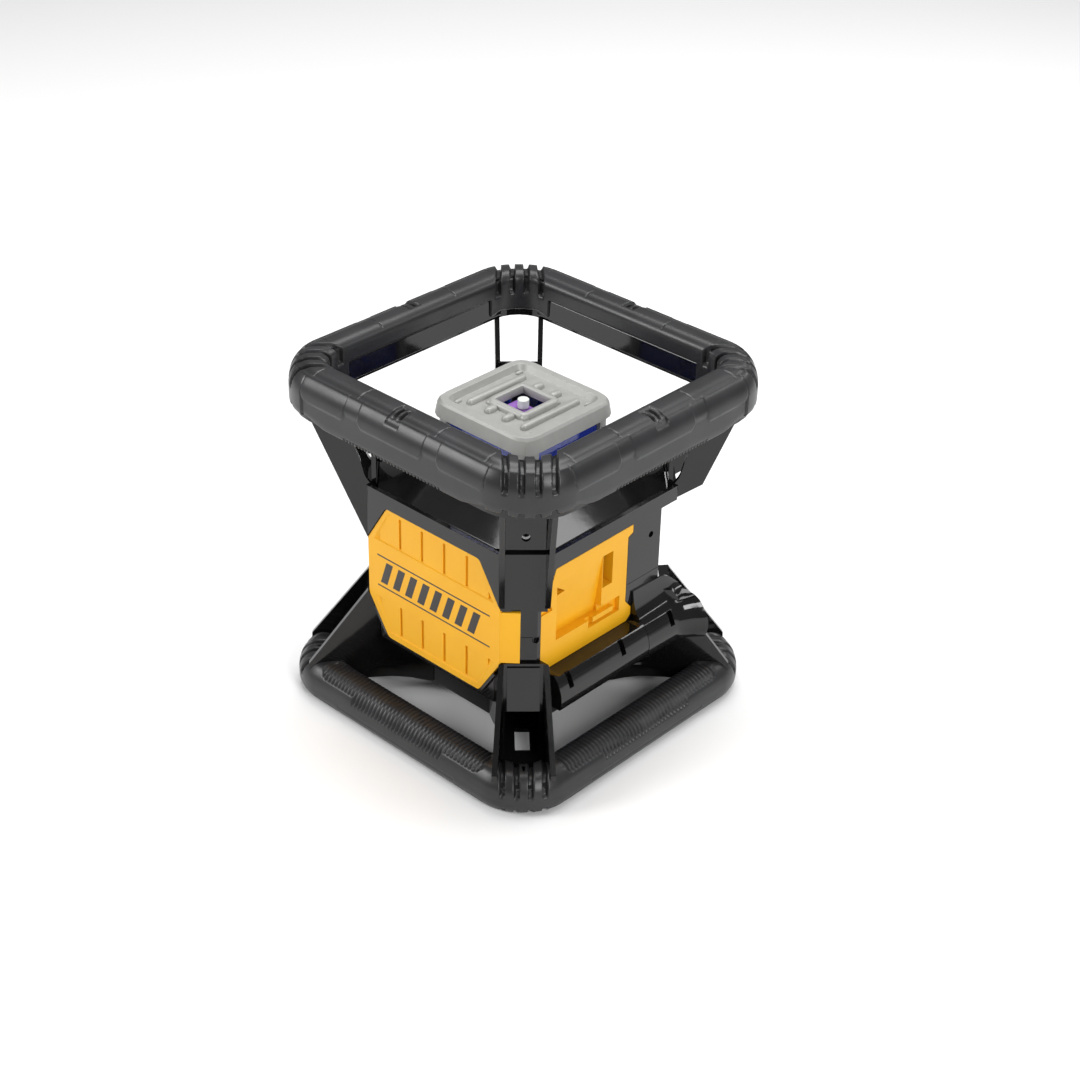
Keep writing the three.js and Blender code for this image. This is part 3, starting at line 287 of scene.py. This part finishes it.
MATERIALS = {
    "gloss_black_plastic": moulded(
        "gloss_black_plastic", (0.007, 0.0065, 0.0065), (0.004, 0.004, 0.004), (0.06, 0.12), grain=0.003
    ),
    "grip_rubber": moulded("grip_rubber", (0.021, 0.021, 0.023), (0.014, 0.014, 0.015), (0.31, 0.42)),
    "yellow_plastic": moulded(
        "yellow_plastic", (0.87, 0.435, 0.010), (0.84, 0.41, 0.008), (0.36, 0.44), grain=0.015, ior=1.4
    ),
    "satin_black_plastic": moulded(
        "satin_black_plastic", (0.020, 0.020, 0.022), (0.014, 0.014, 0.015), (0.32, 0.45), grain=0.03
    ),
    "cast_aluminium": metal(
        "cast_aluminium",
        (0.36, 0.36, 0.345),
        (0.42, 0.52),
        grain=0.05,
        grain_scale=2600,
        metallic=0.3,
        cloud=0.93,
    ),
    "steel": metal("steel", (0.55, 0.56, 0.58), (0.25, 0.4)),
    "brass": metal("brass", (0.62, 0.42, 0.14), (0.3, 0.42)),
    "clear_glass": glassy("clear_glass", (0.07, 0.13, 0.80), 0.6, 0.02),
    "prism_glass": glassy("prism_glass", (0.34, 0.15, 0.55), 0.1, 0.04),
    "board_green": moulded("board_green", (0.02, 0.16, 0.06), (0.015, 0.11, 0.045), (0.35, 0.5)),
    "key_grey": moulded("key_grey", (0.19, 0.19, 0.20), (0.15, 0.15, 0.16), (0.5, 0.62), grain=0.03),
    "key_red": moulded("key_red", (0.45, 0.04, 0.03), (0.36, 0.03, 0.02), (0.5, 0.6), grain=0.03),
    "lens_red": glassy("lens_red", (0.55, 0.03, 0.03), 0.4, 0.08),
    "belt_rubber": moulded("belt_rubber", (0.018, 0.018, 0.018), (0.012, 0.012, 0.012), (0.6, 0.75)),
    "alloy": metal("alloy", (0.42, 0.44, 0.46), (0.35, 0.5), grain=0.02),
}
ink = moulded("printed_ink", (0.035, 0.03, 0.028), (0.028, 0.024, 0.022), (0.4, 0.5), grain=0.01)
# White ink for the key legends, and also the paint of the painted reflection strips behind the window
# panes.
white_ink_and_reflection_paint = moulded("white_ink_and_reflection_paint", (0.75, 0.75, 0.74), (0.68, 0.68, 0.67), (0.45, 0.55), grain=0.01)
pale_glass = glassy("pale_glass", (0.85, 0.88, 0.84), 0.15, 0.05)
screw_black = metal("screw_black", (0.035, 0.035, 0.04), (0.3, 0.45), metallic=0.8)


# ---- CAD nodes that stay ----

EDGE = 0.6  # most that a CAD node's edges are rounded, in millimetres
FINE_EDGES = {"front_panel": 0.45, "battery_bay": 0.5, "roll_cage": 0.3}
OWN_LOOKS = {"plumb_window": pale_glass}


def finish_node(node, slot):
    """Gives a CAD node its material, soft edges and clean shading."""
    name = node["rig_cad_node"]
    mesh = node.data
    mesh.materials.clear()
    mesh.materials.append(OWN_LOOKS.get(name, MATERIALS[slot]))
    for shading in ("custom_normal", "sharp_edge"):
        attribute = mesh.attributes.get(shading)
        if attribute is not None:
            mesh.attributes.remove(attribute)
    mesh.polygons.foreach_set("use_smooth", [True] * len(mesh.polygons))
    weld = node.modifiers.new("weld", "WELD")
    weld.merge_threshold = 0.02 * MM
    flat = node.modifiers.new("flat", "DECIMATE")
    flat.decimate_type = "DISSOLVE"
    flat.angle_limit = math.radians(0.6)
    low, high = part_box(name)
    smallest = min(high - low) / MM
    bevelled(node, min(FINE_EDGES.get(name, EDGE), 0.12 * smallest), segments=3, angle=24)


def finish_nodes():
    slots = {row["node"]: row["material_slot"] for row in frame["record"]["subparts"]}
    for name, node in frame["nodes"].items():
        finish_node(node, slots[name])


# ---- soft grips on both rings ----

SIDE_END = 84.0  # along a side from its middle, where the wrap round the corner starts
SIDE_STEPS, ARC_STEPS, FLAT_STEPS = 170, 60, 16
BUMPER_RISE = 1.3  # the bumpers stand this proud of the top ring's outer face
BUMPER_BOTTOM = 243.0
BUMPER_SPANS = ((-30.0, 30.0), (41.5, SIDE_END))
TOP_GROOVES = (-15.0, -5.0, 5.0, 15.0)  # across a corner, from its diagonal
BOTTOM_GROOVES = (-14.4, -4.8, 4.8, 14.4)
TOP_SEAMS = (35.0, 78.0)
TICK_PITCH = 3.0
RIB_PITCH = 3.4
RIB_END = 79.0  # along a side, where the bottom ring's narrow ribbed field ends
WIDE_RIB_END = 44.0


def ring_quadrant(flat, inset):
    """Plan outline of a quarter of a square ring, from the middle of its +X side to its +Y side."""
    half = RING_HALF - inset
    root = (flat - inset) * math.sqrt(2)
    radius = RING_FILLET - 0.6 * inset
    reach = radius * math.tan(math.pi / 8)
    side_end = root - half - reach
    points = [(half, side_end * k / SIDE_STEPS) for k in range(SIDE_STEPS)]
    arc = [math.pi / 4 * k / ARC_STEPS for k in range(ARC_STEPS)]
    points += [(half - radius + radius * math.cos(a), side_end + radius * math.sin(a)) for a in arc]
    first = np.array([half, root - half]) + reach * math.sqrt(0.5) * np.array([-1, 1])
    last = first[::-1]
    points += [tuple(first + (last - first) * k / FLAT_STEPS) for k in range(FLAT_STEPS)]
    points += [
        (side_end + radius * math.sin(a), half - radius + radius * math.cos(a))
        for a in (math.pi / 4 * (1 - k / ARC_STEPS) for k in range(ARC_STEPS))
    ]
    points += [(side_end * (1 - k / SIDE_STEPS), half) for k in range(SIDE_STEPS)]
    return np.array(points)


def ring_grip(name, node, flat, section, relief):
    """A soft ring: its section of (inset, height) pairs carried round, in place of a CAD node.
    relief(along, across, inset, height) gives the rise along the section's normals and a lift.
    along: distance from the middle of the nearest side. across: distance from the corner's diagonal."""
    outer, inner = ring_quadrant(flat, 0.0), ring_quadrant(flat, RING_BAR)

    def quarter(inset):
        share = inset / RING_BAR
        return [outer[:, None, k] * (1 - share) + inner[:, None, k] * share for k in (0, 1)]

    smooth_x, smooth_y = quarter(section[None, :, 0])
    along = np.minimum(smooth_x, smooth_y)
    across = (smooth_y - smooth_x) / math.sqrt(2)
    on, back = np.roll(section, -1, axis=0), np.roll(section, 1, axis=0)
    run = (on - back) / np.linalg.norm(on - back, axis=1)[:, None]
    normal = np.stack([run[:, 1], -run[:, 0]], axis=1)
    middle = section.mean(axis=0)
    normal *= np.sign(np.sum(normal * (section - middle), axis=1))[:, None]
    rise, lift = relief(along, across, section[None, :, 0], section[None, :, 1])
    inset = section[None, :, 0] + normal[None, :, 0] * rise
    height = section[None, :, 1] + normal[None, :, 1] * rise + lift
    quarter_x, quarter_y = quarter(inset)
    quarters = []
    for c, s in QUARTER_TURNS:
        x, y = c * quarter_x - s * quarter_y, s * quarter_x + c * quarter_y
        quarters.append(np.stack([x, y, height], axis=2))
    grid = np.concatenate(quarters)
    faces = quads(*grid.shape[:2])
    look = MATERIALS["grip_rubber"]
    piece = add_mesh(name, grid.reshape(-1, 3), faces, look, "grip_rubber", flat_above=60)
    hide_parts(node)


def bumper(along, height, start, end):
    """1 on a soft bumper between two places along a side, with its lower corners rounded."""
    reach = np.minimum(along - start, end - along)
    low = BUMPER_BOTTOM + 5.0 * np.clip(1 - reach / 5.0, 0, 1) ** 2
    return smooth_step(0.0, 1.0, reach) * smooth_step(low - 0.9, low + 0.9, height)


def top_relief(along, across, inset, height):
    """Bumpers, grooves round the corners, sight marks, seams and a knurled lower edge."""
    rise = np.zeros(np.broadcast(along, across, inset).shape)
    on_side = smooth_step(20.0, 21.0, np.abs(across))
    outer = 1 - smooth_step(6.5, 8.5, inset)
    bumpers = sum(bumper(along, height, start, end) for start, end in BUMPER_SPANS)
    between = 0.8 * smooth_step(246.0, 250.0, height)
    past_side = 1 - on_side * (along < SIDE_END)
    rise += BUMPER_RISE * outer * np.maximum(np.maximum(bumpers, between), past_side)
    low_edge = 1 - smooth_step(229.0, 231.0, height)
    wrap = np.maximum(smooth_step(245.5, 248.0, height), low_edge)
    for centre in TOP_GROOVES:
        rise -= 3.4 * bump_at(across, centre, 1.2, 1.0) * wrap
    top_face = smooth_step(259.0, 260.0, height)
    for seam in TOP_SEAMS:
        rise -= 0.5 * bump_at(along, seam, 0.1, 0.5) * on_side * top_face
    notch = bump_at(along, 0.0, 5.6, 0.5) * bump_at(inset, 11.0, 8.5, 0.6)
    slots = bump_at(along, 2.4, 0.8, 0.4) * bump_at(inset, 12.5, 5.0, 0.6)
    rise -= (1.1 * notch + 2.4 * slots) * smooth_step(254.0, 256.0, height) * on_side
    hollow = smooth_step(23.0, 25.0, inset) * (1 - smooth_step(244.0, 246.5, height))
    rise -= 3.0 * hollow * (1 - smooth_step(78.0, 86.0, along)) * on_side
    ticks = bump_at((along / TICK_PITCH) % 1.0, 0.5, 0.16, 0.14) * (1 - smooth_step(11.0, 12.0, inset))
    rise -= 1.2 * ticks * (1 - smooth_step(229.0, 230.0, height)) * (1 - smooth_step(44.0, 45.0, along))
    low_part = 1 - smooth_step(TOP_RING_UNDERSIDE, BUMPER_BOTTOM, height)
    lift = 5.0 * smooth_step(60.0, 86.0, along) * low_part
    return rise, lift * (0.6 + 0.4 * smooth_step(6.0, 14.0, np.abs(across)))


def bottom_relief(along, across, inset, height):
    """Grooves round the corners, a ribbed field on each side and the outer skin's seams."""
    wrap = np.maximum(smooth_step(13.5, 15.5, height), 1 - smooth_step(3.0, 4.5, height))
    rise = np.zeros(np.broadcast(along, across, inset).shape)
    for centre in BOTTOM_GROOVES:
        rise -= 3.0 * bump_at(across, centre, 1.1, 1.0) * wrap
    on_side = smooth_step(20.0, 21.0, np.abs(across))
    end_curve = np.clip(along - 73.0, 0, 7) ** 2 * 0.09
    before_end = 1 - smooth_step(RIB_END, RIB_END + 0.6, along)
    narrow = smooth_step(22.0, 22.6, height - end_curve) * before_end
    wide = smooth_step(16.8, 17.4, height) * (1 - smooth_step(WIDE_RIB_END, WIDE_RIB_END + 0.6, along))
    outer = np.maximum(narrow, wide)
    inner = smooth_step(20.0, 22.0, inset) * smooth_step(9.0, 10.0, height) * before_end
    ribs = bump_at((along / RIB_PITCH) % 1.0, 0.5, 0.12, 0.22)
    rise -= np.maximum(outer, inner) * on_side * (0.5 + 1.3 * ribs)
    border = outer * (1 - outer) * 4
    rise += 0.35 * border * on_side
    outer_face = 1 - smooth_step(2.0, 3.0, inset)
    step = np.where(along < 58.0, 8.0, 3.5)
    rise -= 0.5 * bump_at(height, step, 0.2, 0.6) * outer_face * (along < SIDE_END)
    return rise, 0.0


TOP_SECTION = soft_section(
    [
        (BUMPER_RISE + 0.6, TOP_RING_UNDERSIDE, 1.2),
        (BUMPER_RISE, 231.0, 2.0),
        (BUMPER_RISE, 251.0, 8.0),
        (9.0, RING_CREST, 6.0),
        (22.0, RING_CREST, 3.0),
        (RING_BAR, 257.5, 4.0),
        (RING_BAR, 231.5, 2.0),
        (24.5, 229.0, 1.5),
    ],
    pitch=1.0,
)
BOTTOM_SECTION = soft_section(
    [
        (3.5, 0.0, 2.5),
        (0.0, 6.0, 5.0),
        (0.0, 18.5, 6.0),
        (8.0, BOTTOM_RING_TOP, 5.0),
        (22.0, BOTTOM_RING_TOP, 6.0),
        (RING_BAR, 21.0, 6.0),
        (RING_BAR, 5.0, 4.0),
        (23.0, 0.0, 2.5),
    ],
    pitch=1.2,
)


def ring_liner():
    """Hard gloss strips along the inside of the top ring, below the soft wrap."""
    inner = RING_HALF - RING_BAR
    half_length = 80.0
    section = [(inner + 3.2, 229.3), (inner + 1.3, 230.5), (inner + 1.6, 244.8), (inner + 3.2, 245.5)]
    parts = []
    for c, s in QUARTER_TURNS:

        def place(u, v, w, c=c, s=s):
            return (c * u - s * w, s * u + c * w, v)

        parts.append(prism_mesh(section, place, -half_length, half_length))
    look = MATERIALS["gloss_black_plastic"]
    bevelled(add_mesh("top_ring_liner", *join_meshes(parts), look, "gloss_black_plastic"), 0.4)


# ---- printed graphic on the front panel ----

RULE_HEIGHTS = (95.8, 120.3)
RULE_HALF_LENGTH, RULE_HALF_WIDTH = 54, 0.55
BAR_WIDTH, BAR_SLANT, BAR_PITCH = 6.5, 6.0, 12.0
BAR_BOTTOM, BAR_TOP = 99.0, 117.0
PRINT_DEPTH = (-0.05, 0.4)  # from just outside the panel's face to its inside


def on_front(u, v, w):
    return (u, PANEL_FACE + w, v)


def front_graphic():
    """Two thin rules with a row of slanted bars between them."""
    parts = []
    for height in RULE_HEIGHTS:
        low, high = height - RULE_HALF_WIDTH, height + RULE_HALF_WIDTH
        ends = (-RULE_HALF_LENGTH, RULE_HALF_LENGTH)
        rule = [(ends[0], low), (ends[1], low), (ends[1], high), (ends[0], high)]
        parts.append(prism_mesh(rule, on_front, *PRINT_DEPTH))
    for left in np.arange(-51.0, 42.0, BAR_PITCH):
        right = left + BAR_WIDTH
        top_ends = [(right + BAR_SLANT, BAR_TOP), (left + BAR_SLANT, BAR_TOP)]
        bar = [(left, BAR_BOTTOM), (right, BAR_BOTTOM), *top_ends]
        parts.append(prism_mesh(bar, on_front, *PRINT_DEPTH))
    add_mesh("front_graphic", *join_meshes(parts), ink, "yellow_plastic")


# ---- cast cap over the rotor ----

def capsule_outline(start, end, half_width, steps=8):
    """Plan outline of a bar with round ends."""
    (x0, y0), (x1, y1) = start, end
    heading = math.atan2(y1 - y0, x1 - x0)
    sweep = [math.pi * k / steps - math.pi / 2 for k in range(steps + 1)]
    far = [(x1, y1, heading + a) for a in sweep]
    near = [(x0, y0, heading + math.pi + a) for a in sweep]
    return [(x, y, math.cos(a) * half_width, math.sin(a) * half_width) for x, y, a in far + near]


def soft_mound(start, end, half_width, base, rise):
    """Vertices and faces of a rounded rib that stands on a surface."""
    outline = capsule_outline(start, end, half_width)
    levels = [(1.0, -0.4), (1.0, 0.0), (0.94, 0.35), (0.82, 0.68), (0.62, 0.9), (0.35, 1.0)]
    vertices = [
        (x + dx * size, y + dy * size, base + (rise * high if high > 0 else high))
        for size, high in levels
        for x, y, dx, dy in outline
    ]
    count = len(outline)
    faces = [tuple(range(count))[::-1]]
    faces += quads(len(levels), count, closed=False)
    faces.append(tuple(range((len(levels) - 1) * count, len(levels) * count)))
    return vertices, faces


def square_path(half, radius, steps=8):
    """Points of a square with round corners, and their outward directions."""
    path = []
    for turn in range(4):
        start = turn * math.pi / 2
        diagonal = np.sign([math.cos(start + math.pi / 4), math.sin(start + math.pi / 4)])
        centre = (half - radius) * diagonal
        for k in range(steps + 1):
            a = start + math.pi / 2 * k / steps
            out = np.array([math.cos(a), math.sin(a)])
            path.append((centre + radius * out, out))
    return path


def swept_frame(half, radius, section):
    """Vertices and faces of a section of (outward, height) pairs carried round a square path."""
    vertices = [
        (*(point + out * offset), height)
        for point, out in square_path(half, radius)
        for offset, height in section
    ]
    return vertices, quads(len(vertices) // len(section), len(section))


RIB_RISE = 3.3
EYE_HALF, EYE_CORNER = 16.0, 3.5


def cap_casting():
    """The ribs, the eye's frame and small lumps in the cap's tray, as cast in one with it."""
    parts = [soft_mound((x, -25), (x, 25), 3.0, TRAY_FLOOR, RIB_RISE) for x in (-24.8, 24.8)]
    for x in (-8.0, 8.0):
        for side in (-1, 1):
            parts.append(soft_mound((x, side * 20.9), (x, side * 25.1), 3.1, TRAY_FLOOR, RIB_RISE))
            parts.append(soft_mound((x * 4.0, side * 28.0), (x * 4.0, side * 31.5), 1.6, TRAY_FLOOR, 1.8))
    inner = [(-2.7, -0.4), (-2.7, 3.2), (-2.3, 3.75), (-1.6, 3.95)]
    outer = [(0.4, 3.95), (1.3, 3.65), (2.0, 2.7), (2.5, 1.5), (2.8, -0.4)]
    eye = [(across, TRAY_FLOOR + up) for across, up in inner + outer]
    parts.append(swept_frame(EYE_HALF, EYE_CORNER, eye))
    look = MATERIALS["cast_aluminium"]
    add_mesh("cap_casting", *join_meshes(parts), look, "cast_aluminium", flat_above=50)


# ---- painted reflections: pale slanted strips behind the window panes ----

REFLECTION_STRIPS = ((-7.0, 9.0), (18.0, 7.5))  # each painted reflection strip's place along its pane, and its width
STRIP_SLANT = 7
STRIP_THICK = 0.8


def pane_reflection_strips():
    """Two slanted white strips behind each pane, painted reflections on the glass."""
    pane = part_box("window_pane_battery")
    behind = pane[0].x / MM - 0.3
    low, high = (corner.z / MM for corner in pane)
    low, high = low + 5, high - 10
    parts = []
    for c, s in QUARTER_TURNS:

        def place(u, v, w, c=c, s=s):
            return (c * (behind - w) - s * u, s * (behind - w) + c * u, v)

        for left, wide in REFLECTION_STRIPS:
            foot = left + STRIP_SLANT
            outline = [(foot, low), (foot + wide, low), (left + wide, high), (left, high)]
            parts.append(prism_mesh(outline, place, 0.0, STRIP_THICK))
    # Painted reflections: pale strips seen through the blue panes in place of their white reflections.
    add_mesh("pane_reflection_strips", *join_meshes(parts), white_ink_and_reflection_paint, "yellow_plastic")


# ---- screws ----

# (radius, height) of a socket screw's head over its seat.
SCREW_HEAD = [(0.05, -1.2), (2.6, -1.2), (2.6, 0.2), (2.3, 0.55), (1.35, 0.55), (1.25, -0.7), (0.05, -0.7)]
BODY_SCREWS = ((-67.0, 104.0), (46.0, 137.0))  # Y and Z of the screws beside the battery bay
BODY_SCREW_DEPTH = 2.4
BODY_SCREW_SIZE = 0.85
POST_SCREW_REACH = 96.6  # from the middle to a corner post's screw
POST_SCREW_Z = 183.0


def screw(name, place, out, size=1.0):
    """A small socket screw. place: middle of its seat. out: its axis."""
    vertices, faces = turned_mesh([(r * size, z * size) for r, z in SCREW_HEAD], steps=24)
    turn = Vector((0, 0, 1)).rotation_difference(Vector(out)).to_matrix()
    seated = [tuple(turn @ Vector(v) + Vector(place)) for v in vertices]
    add_mesh(name, seated, faces, screw_black, "steel")


def body_screws():
    """Two screws beside the battery bay, and one in each corner post."""
    seat_x = BATTERY_FACE - BODY_SCREW_DEPTH
    seats = [((seat_x, y, z), (1, 0, 0), BODY_SCREW_SIZE) for y, z in BODY_SCREWS]
    for turn in CORNER_TURNS:
        c, s = math.cos(math.radians(turn)), math.sin(math.radians(turn))
        seats.append(((POST_SCREW_REACH * c, POST_SCREW_REACH * s, POST_SCREW_Z), (c, s, 0), 1.0))
    for i, (place, out, size) in enumerate(seats):
        screw(f"body_screw_{i + 1}", place, out, size)


# ---- keypad legends ----

LEGEND_DEPTH = (-0.2, 0.12)  # from inside the key's face to just over it
STROKE_WIDTH = 0.7
ARROW_RADIUS = 2.2


def on_keypad(node):
    """A plane just over a key's outer face, seen from outside: u to the right, v up."""
    low, high = (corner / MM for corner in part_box(node))
    middle = (low + high) / 2
    return lambda u, v, w: (middle.x - u, high.y + w, middle.z + v)


def stroke(points, place):
    """A flat line of short bars through points."""
    parts = []
    for (u0, v0), (u1, v1) in zip(points, points[1:]):
        run = Vector((u1 - u0, v1 - v0)).normalized() * STROKE_WIDTH / 2
        side = Vector((-run.y, run.x))
        corners = [
            (u0 - run.x - side.x, v0 - run.y - side.y),
            (u1 + run.x - side.x, v1 + run.y - side.y),
            (u1 + run.x + side.x, v1 + run.y + side.y),
            (u0 - run.x + side.x, v0 - run.y + side.y),
        ]
        parts.append(prism_mesh(corners, place, *LEGEND_DEPTH))
    return parts


def arc_points(radius, start, end, steps=12):
    angles = np.radians(np.linspace(start, end, steps))
    return [(radius * math.cos(a), radius * math.sin(a)) for a in angles]


def arrow(heading):
    """A triangle that points along heading, in degrees."""
    angles = np.radians([heading, heading + 130, heading - 130])
    return [(ARROW_RADIUS * math.cos(a), ARROW_RADIUS * math.sin(a)) for a in angles]


def key_mark(name, parts):
    add_mesh(f"{name}_mark", *join_meshes(parts), white_ink_and_reflection_paint, "key_grey", body=name)


def key_legends():
    """Plain symbols on the keys: power, speed, scan, axis, alert and four arrows."""
    marks = {
        "power_button": [arc_points(2.6, 125, 415), [(0, 1.0), (0, 3.6)]],
        "speed_button": [arc_points(2.4, 200, 480), [(0.6, 3.3), (-0.9, 2.2), (0.7, 1.1)]],
        "scan_button": [[(-3.6, -1.4), (0, 1.8), (3.6, -1.4)], [(-3.6, -1.4), (3.6, -1.4)]],
        "axis_button": [[(-3.4, 0), (3.4, 0)], [(0, -2.6), (0, 2.6)]],
        "alert_button": [[(-2.8, -2.0), (2.8, -2.0), (0, 2.6), (-2.8, -2.0)]],
    }
    for name, strokes in marks.items():
        key_mark(name, [bar for line in strokes for bar in stroke(line, on_keypad(name))])
    # Left and right are as the front panel faces, so they swap when the keypad is seen from outside.
    for name, heading in (("up", 90), ("down", 270), ("left", 0), ("right", 180)):
        name = f"{name}_button"
        key_mark(name, [prism_mesh(arrow(heading), on_keypad(name), *LEGEND_DEPTH)])


# ---- threads of the tripod inserts ----

THREAD_PITCH = 25.4 / 11
THREAD_STEPS = 32  # points in one turn
BORE_RADIUS = 7.2


def thread_helix(name, start, way, length):
    """A screw thread on the wall of an insert's bore. way: unit direction into the bore."""
    count = THREAD_STEPS * (int(length / THREAD_PITCH) - 1)
    ridge = [(0.35, -0.95), (-0.75, 0.0), (0.35, 0.95)]
    turn = Vector((0, 0, 1)).rotation_difference(Vector(way)).to_matrix()
    vertices = []
    for k in range(count + 1):
        angle = 2 * math.pi * k / THREAD_STEPS
        for out, rise in ridge:
            r = BORE_RADIUS + out
            height = THREAD_PITCH * (k / THREAD_STEPS + 0.6) + rise
            point = Vector((r * math.cos(angle), r * math.sin(angle), height))
            vertices.append(tuple(turn @ point + Vector(start)))
    last = count * 3
    faces = [(0, 1, 2), (last + 2, last + 1, last)]
    for k in range(count):
        for j in range(3):
            a, b = k * 3 + j, k * 3 + (j + 1) % 3
            faces.append((a, a + 3, b + 3, b))
    add_mesh(name, vertices, faces, MATERIALS["brass"], "brass")


def insert_threads():
    """Threads in the tripod insert underneath and in the one on the side."""
    low, high = (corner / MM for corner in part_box("bottom_tripod_insert"))
    thread_helix("bottom_insert_thread", (0, 0, low.z), (0, 0, 1), high.z - low.z)
    low, high = (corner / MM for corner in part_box("side_tripod_insert"))
    start = (low.x, 0, (low.z + high.z) / 2)
    thread_helix("side_insert_thread", start, (1, 0, 0), high.x - low.x)


# ---- stage, light and camera, in metres ----

FLOOR_HALF = 12.0
FLOOR_DROP = 0.0003  # keeps the floor clear of the bottom ring
LIGHT_TARGET = (0, 0, 0.14)
# Each light's place, its size and its power in watts.
LIGHTS = {
    "front_left": ((-1.2, -1.6, 1.3), (0.8, 0.8), 26),
    "front_right": ((1.9, -0.6, 1.2), (0.7, 0.9), 24),
    "strip": ((0.5, 1.5, 1.1), (1.4, 0.25), 8),
    "top": ((-0.3, 0.5, 2.2), (1.6, 1.6), 44),
}
WORLD_STRENGTH = 0.24
CAMERA_TARGET = (0, 0, 0.13055)
CAMERA_AZIMUTH, CAMERA_ELEVATION, CAMERA_ROLL = 43.06, 31.58, 1.1  # degrees
CAMERA_DISTANCE = 1.44161
CAMERA_LENS = 69.18
CAMERA_SHIFT = (0.0176, -0.0147)


def stage():
    floor_mesh = bpy.data.meshes.new("floor")
    signs = ((-1, -1), (1, -1), (1, 1), (-1, 1))
    corners = [(FLOOR_HALF * x, FLOOR_HALF * y, 0) for x, y in signs]
    floor_mesh.from_pydata(corners, [], [(0, 1, 2, 3)])
    material, _, shader = new_material("floor")
    shader.inputs["Base Color"].default_value = (0.88, 0.88, 0.88, 1)
    shader.inputs["Roughness"].default_value = 0.9
    shader.inputs["Specular IOR Level"].default_value = 0.1
    floor_mesh.materials.append(material)
    floor = bpy.data.objects.new("floor", floor_mesh)
    floor.location.z = -FLOOR_DROP
    bpy.context.scene.collection.objects.link(floor)


def soft_light(name, place, size, power):
    """A rectangular light that faces the object."""
    data = bpy.data.lights.new(name, "AREA")
    data.shape = "RECTANGLE"
    data.size, data.size_y = size
    data.energy = power
    light = bpy.data.objects.new(name, data)
    light.location = place
    light.rotation_euler = (Vector(place) - Vector(LIGHT_TARGET)).to_track_quat("Z", "Y").to_euler()
    bpy.context.scene.collection.objects.link(light)


def lights():
    world = bpy.data.worlds.new("studio")
    world.use_nodes = True
    background = world.node_tree.nodes["Background"]
    background.inputs["Color"].default_value = (1, 1, 1, 1)
    background.inputs["Strength"].default_value = WORLD_STRENGTH
    bpy.context.scene.world = world
    for name, (place, size, power) in LIGHTS.items():
        soft_light(name, place, size, power)


def camera():
    azimuth, elevation, roll = map(math.radians, (CAMERA_AZIMUTH, CAMERA_ELEVATION, CAMERA_ROLL))
    back = Vector(
        (
            math.sin(azimuth) * math.cos(elevation),
            -math.cos(azimuth) * math.cos(elevation),
            math.sin(elevation),
        )
    )
    level_right = Vector((math.cos(azimuth), math.sin(azimuth), 0))
    level_up = back.cross(level_right)
    right = level_right * math.cos(roll) + level_up * math.sin(roll)
    up = back.cross(right)
    data = bpy.data.cameras.new("camera")
    data.sensor_width = 36
    data.lens = CAMERA_LENS
    data.shift_x, data.shift_y = CAMERA_SHIFT
    eye = bpy.data.objects.new("camera", data)
    place = Vector(CAMERA_TARGET) + back * CAMERA_DISTANCE
    facing = Matrix((right, up, back)).transposed().to_4x4()
    eye.matrix_world = Matrix.Translation(place) @ facing
    bpy.context.scene.collection.objects.link(eye)
    bpy.context.scene.camera = eye


# ---- the whole scene ----

finish_nodes()
ring_grip("top_grip_skin", "top_grip", TOP_RING_CORNER, TOP_SECTION, top_relief)
ring_grip("bottom_grip_skin", "bottom_grip", BOTTOM_RING_CORNER, BOTTOM_SECTION, bottom_relief)
ring_liner()
front_graphic()
cap_casting()
pane_reflection_strips()
body_screws()
key_legends()
insert_threads()
stage()
lights()
camera()
bpy.context.scene.view_settings.view_transform = "Standard"
